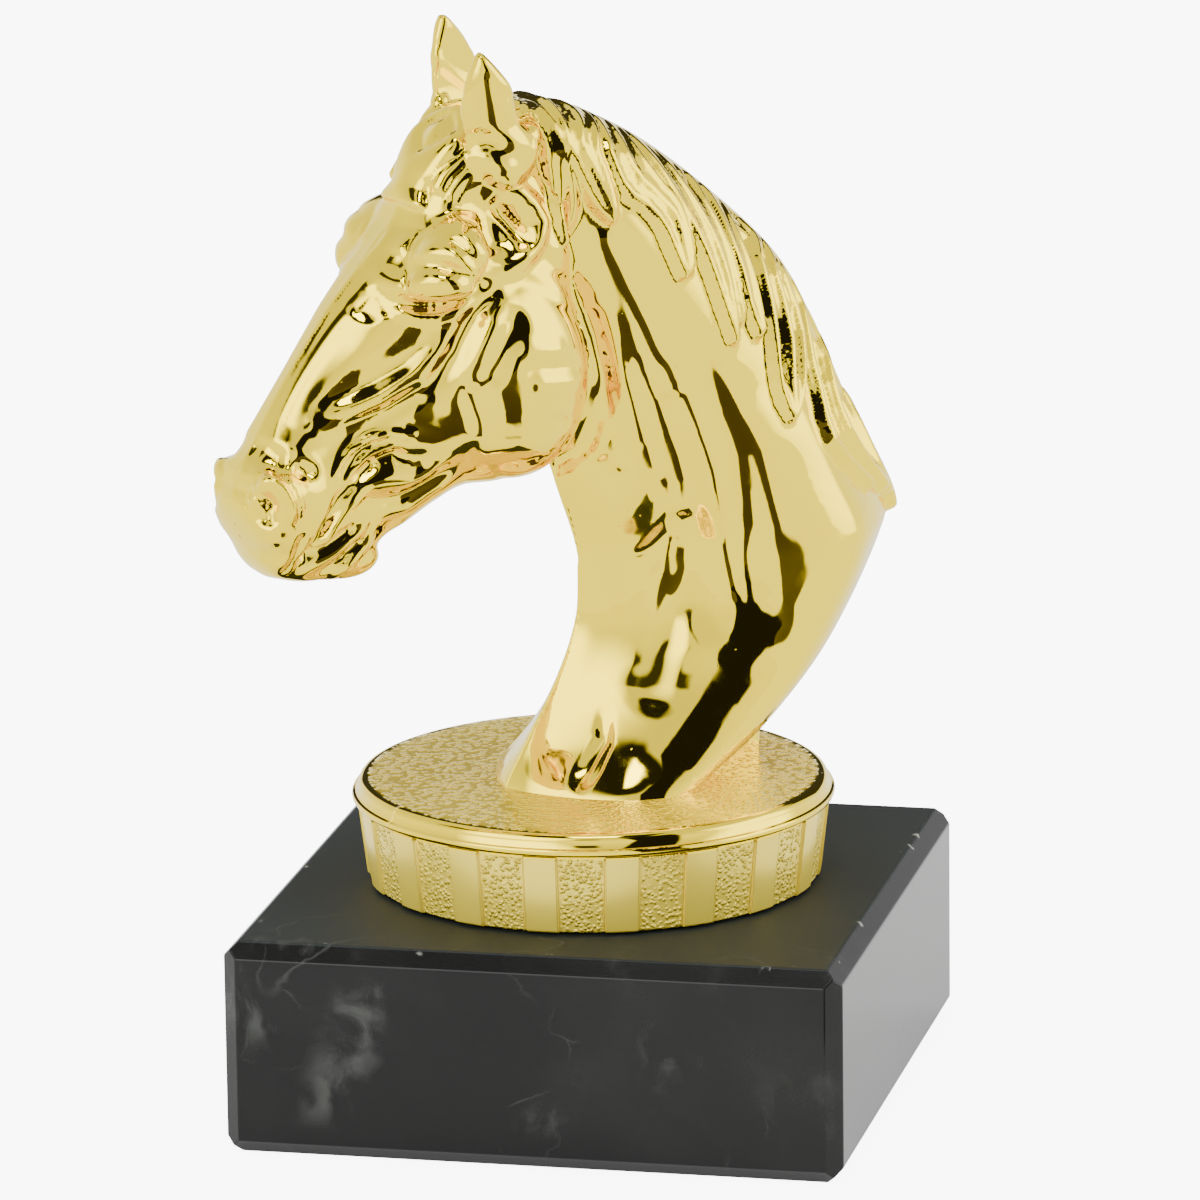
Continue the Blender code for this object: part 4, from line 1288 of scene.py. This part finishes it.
    @staticmethod
    def _hair(points: Array, locks: Iterable[Any], breadth: float, height: float,
              tip_share: float = LOCK_TIP_SHARE) -> Array:
        """Locks of hair.

        Args:
            points: The points to raise, (u, w).
            locks: The lines of the locks.
            breadth: Their half breadth.
            height: Their height.
            tip_share: The share of the breadth that is left at the tip.

        Returns:
            How high each point is raised.
        """
        rise = np.zeros(len(points))
        for line in locks:
            near, _ = nearest(points, through(line, LOCK_STEPS), (breadth, breadth * tip_share))
            rise = np.maximum(rise, height * np.sqrt(np.maximum(1.0 - near ** 2, 0.0)))
        return rise

    @staticmethod
    def _ridges() -> Iterator[Array]:
        """The lines of the mane.

        Returns:
            Its strands, and a line between each two that share a tip.
        """
        for line in LOCKS:
            yield through(line, LOCK_STEPS)
        for one, other in zip(LOCKS, LOCKS[1:]):
            if math.dist(one[-1], other[-1]) < TIPS_MEET:
                yield (through(one, LOCK_STEPS) + through(other, LOCK_STEPS)) / 2

    @staticmethod
    def _strokes(points: Array, strokes: Iterable[Any]) -> Array:
        """Modelling strokes.

        Args:
            points: The points to raise or press, (u, w).
            strokes: The strokes.

        Returns:
            How high each point is raised.
        """
        height = np.zeros(len(points))
        for rise, reaches, line in strokes:
            near, along = nearest(points, line, (STROKE_SPREAD * reaches[0], STROKE_SPREAD * reaches[1]))
            here = rise * (1.0 - np.minimum(near, 1.0) ** 2) ** 2
            if len(line) >= LONG_STROKE:
                ends = np.minimum(np.minimum(along, 1.0 - along) / STROKE_END, 1.0)
                here *= END_HEIGHT + (1.0 - END_HEIGHT) * ends
            height += here
        return height

    def _sculpt(self, mesh: bpy.types.Mesh) -> None:
        """Raise and press the skin along its own normals.

        Args:
            mesh: The horse in its own frame.
        """
        place = np.empty(len(mesh.vertices) * 3)
        normal = np.empty(len(mesh.vertices) * 3)
        mesh.vertices.foreach_get("co", place)
        mesh.vertex_normals.foreach_get("vector", normal)
        place = place.reshape(-1, 3)
        normal = normal.reshape(-1, 3)
        side = place[:, [0, 2]]
        far = place[:, 1] < 0.0
        start = np.where(far, FAR_FACING_FROM, FACING_FROM)
        facing = np.clip((np.abs(normal[:, 1]) - start) / FACING_OVER, 0.0, 1.0)
        height = STROKE_SHARE * self._strokes(side, STROKES) * facing
        turned = np.clip(np.abs(normal[:, 1]) / FINE_FACING_OVER, 0.0, 1.0)
        turned *= np.where(far, FAR_SHARE, 1.0)
        height += self._strokes(side, FINE_STROKES) * turned
        locks = self._hair(side, LOCKS, LOCK_BREADTH, LOCK_HEIGHT)
        ridges = self._hair(side, self._ridges(), RIDGE_BREADTH, RIDGE_HEIGHT, RIDGE_TIP_SHARE)
        height += locks + (ridges - RIDGE_HEIGHT / 2) * (locks > HAIR_FROM)
        inner = np.clip(2.0 * (1.0 - np.abs(place[:, 1]) / FORELOCK_HALF_WIDTH), 0.0, 1.0)
        height += self._hair(side, FORELOCK, FORELOCK_BREADTH, FORELOCK_HEIGHT) * inner
        place += normal * height[:, None]
        mesh.vertices.foreach_set("co", place.ravel())
        mesh.update()


@dataclass(frozen=True)
class SoftWindow:
    """A soft-edged patch of light or dark in the room round the trophy.

    Its place is in degrees, its half sizes and its edge are tangents.
    """

    azimuth: float
    elevation: float
    half_width: float
    half_height: float
    edge: float
    strength: float


STUDIO_WINDOWS = (
    SoftWindow(43.0, 24.0, 0.21, 0.50, 0.02, 0.015),
    SoftWindow(8.0, 33.0, 0.10, 0.10, 0.03, 0.05),
    SoftWindow(10.0, 70.0, 0.42, 0.30, 0.03, 0.02),
    SoftWindow(12.0, 70.0, 0.14, 0.16, 0.02, 9.0),
    SoftWindow(-70.0, 46.0, 0.22, 0.12, 0.03, 0.05),
    SoftWindow(180.0, 24.0, 0.60, 0.26, 0.05, 0.05),
    SoftWindow(-30.0, 30.0, 0.40, 0.35, 0.15, 4.6),
    SoftWindow(100.0, 20.0, 0.40, 0.40, 0.15, 4.2),
)


@dataclass
class Studio:
    """The camera, the room that the gold mirrors, and the floor.

    The camera's aim and distance are in millimetres. The floor and the room are
    brighter to the camera than in a mirror ray, where the floor also has a dark
    strip from gap_from metres on, gap_share wide for each metre.
    """

    azimuth: float = 12.386
    elevation: float = 14.44
    roll: float = -0.715
    distance: float = 926.97
    aim: Point = (0.275, 46.85)
    lens: float = 284.04
    sensor: float = 36.0
    floor_size: float = 6.0
    floor_color: Triple = (0.86, 0.86, 0.86)
    floor_glow: float = 0.6
    floor_roughness: float = 0.9
    backdrop_glow: float = 9.0
    gap_color: Triple = (0.012, 0.007, 0.010)
    gap_azimuth: float = 43.0
    gap_share: float = 0.19
    gap_from: float = 0.08
    ceiling: float = 1.2
    horizon: float = 1.8
    seen_room: float = 4.0
    windows: tuple[SoftWindow, ...] = STUDIO_WINDOWS

    def axes(self) -> Matrix:
        """How the camera is turned.

        Returns:
            Its right, up and back directions, as columns.
        """
        a, e, r = (math.radians(x) for x in (self.azimuth, self.elevation, self.roll))
        back = Vector((math.sin(a) * math.cos(e), -math.cos(a) * math.cos(e), math.sin(e)))
        level = Vector((math.cos(a), math.sin(a), 0.0))
        upright = back.cross(level)
        right = level * math.cos(r) + upright * math.sin(r)
        up = upright * math.cos(r) - level * math.sin(r)
        return Matrix((right, up, back)).transposed()

    def camera(self) -> None:
        """Stand the camera where the photo was taken from."""
        data = bpy.data.cameras.new("camera")
        data.lens = self.lens
        data.sensor_width = self.sensor
        data.clip_end = 50.0
        made = bpy.data.objects.new("camera", data)
        bpy.context.scene.collection.objects.link(made)
        axes = self.axes()
        made.matrix_world = Matrix.Translation(axes @ Vector((*self.aim, self.distance)) * MM) @ axes.to_4x4()
        bpy.context.scene.camera = made

    def floor(self) -> None:
        """Lay a plain pale floor."""
        bpy.ops.mesh.primitive_plane_add(size=self.floor_size)
        made = bpy.context.object
        made.name = "floor"
        material = bpy.data.materials.new("floor")
        material.use_nodes = True
        shader = Shader(material.node_tree)
        place = shader.node("ShaderNodeTexCoord").outputs["Object"]
        a = math.radians(self.gap_azimuth)
        ahead = shader.along(place, (math.sin(a), -math.cos(a), 0.0))
        across = shader.along(place, (math.cos(a), math.sin(a), 0.0))
        gap = abs(across / ahead.at_least(0.001))
        gap = gap.fade(self.gap_share - 0.02, self.gap_share + 0.02, 1.0, 0.0)
        gap = gap * ahead.fade(self.gap_from, self.gap_from + 0.01)
        mirrored = material.node_tree.nodes["Principled BSDF"]
        for socket in ("Base Color", "Emission Color"):
            shader.put(mirrored.inputs[socket], shader.blend(gap, self.floor_color, self.gap_color))
        mirrored.inputs["Emission Strength"].default_value = self.floor_glow
        mirrored.inputs["Roughness"].default_value = self.floor_roughness
        seen = shader.node("ShaderNodeBsdfPrincipled", None, {
            "Base Color": self.floor_color,
            "Emission Color": self.floor_color,
            "Emission Strength": self.backdrop_glow,
            "Roughness": self.floor_roughness,
        })
        directly = shader.node("ShaderNodeLightPath").outputs["Is Camera Ray"]
        both = {0: directly, 1: mirrored.outputs[0], 2: seen.outputs[0]}
        mixed = shader.node("ShaderNodeMixShader", None, both)
        shader.put(material.node_tree.nodes["Material Output"].inputs["Surface"], mixed.outputs[0])
        made.data.materials.append(material)
        made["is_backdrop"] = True

    @staticmethod
    def _window(shader: Shader, ray: Any, window: SoftWindow) -> Value:
        """How much of a soft window a ray meets.

        Args:
            shader: The room's shader.
            ray: The ray's direction.
            window: The window.

        Returns:
            The share.
        """
        a, e = math.radians(window.azimuth), math.radians(window.elevation)
        ahead = Vector((math.sin(a) * math.cos(e), -math.cos(a) * math.cos(e), math.sin(e)))
        aside = Vector((math.cos(a), math.sin(a), 0.0))
        upward = ahead.cross(aside)
        depth = shader.along(ray, ahead)
        safe = depth.at_least(0.001)
        x = abs(shader.along(ray, aside) / safe).fade(
            window.half_width - window.edge, window.half_width + window.edge, 1.0, 0.0)
        y = abs(shader.along(ray, upward) / safe).fade(
            window.half_height - window.edge, window.half_height + window.edge, 1.0, 0.0)
        return x * y * depth.fade(0.0, 0.05)

    def room(self) -> None:
        """Light the trophy from a plain studio with soft lights and dark gaps."""
        world = bpy.data.worlds.new("studio")
        world.use_nodes = True
        bpy.context.scene.world = world
        tree = world.node_tree
        tree.nodes.clear()
        shader = Shader(tree)
        ray = shader.node("ShaderNodeTexCoord").outputs["Generated"]
        light = shader.height(ray).fade(0.05, 0.75, self.horizon, self.ceiling)
        for window in self.windows:
            share = self._window(shader, ray, window)
            light = light * (1.0 - share) + share * window.strength
        seen = Value(shader, shader.node("ShaderNodeLightPath").outputs["Is Camera Ray"])
        light = light * (1.0 - seen) + seen * self.seen_room
        glow = shader.node("ShaderNodeBackground", None, {"Color": (1.0, 1.0, 1.0), "Strength": light})
        out = shader.node("ShaderNodeOutputWorld")
        tree.links.new(glow.outputs[0], out.inputs["Surface"])


def spans(low: Vector, high: Vector) -> list[list[float]]:
    """Two corners as plain lists."""
    return [list(low), list(high)]


def main() -> None:
    """Build the pieces in order, then the studio."""
    logging.basicConfig(level=logging.INFO)
    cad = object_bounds()
    materials = MaterialBook()
    MarblePlinth().build(materials)
    RoundBase().build(materials)
    Horse().build(materials)
    studio = Studio()
    studio.camera()
    studio.floor()
    studio.room()
    {"cad": spans(*cad), "visual": spans(*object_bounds())}


if __name__ == "__main__":
    main()
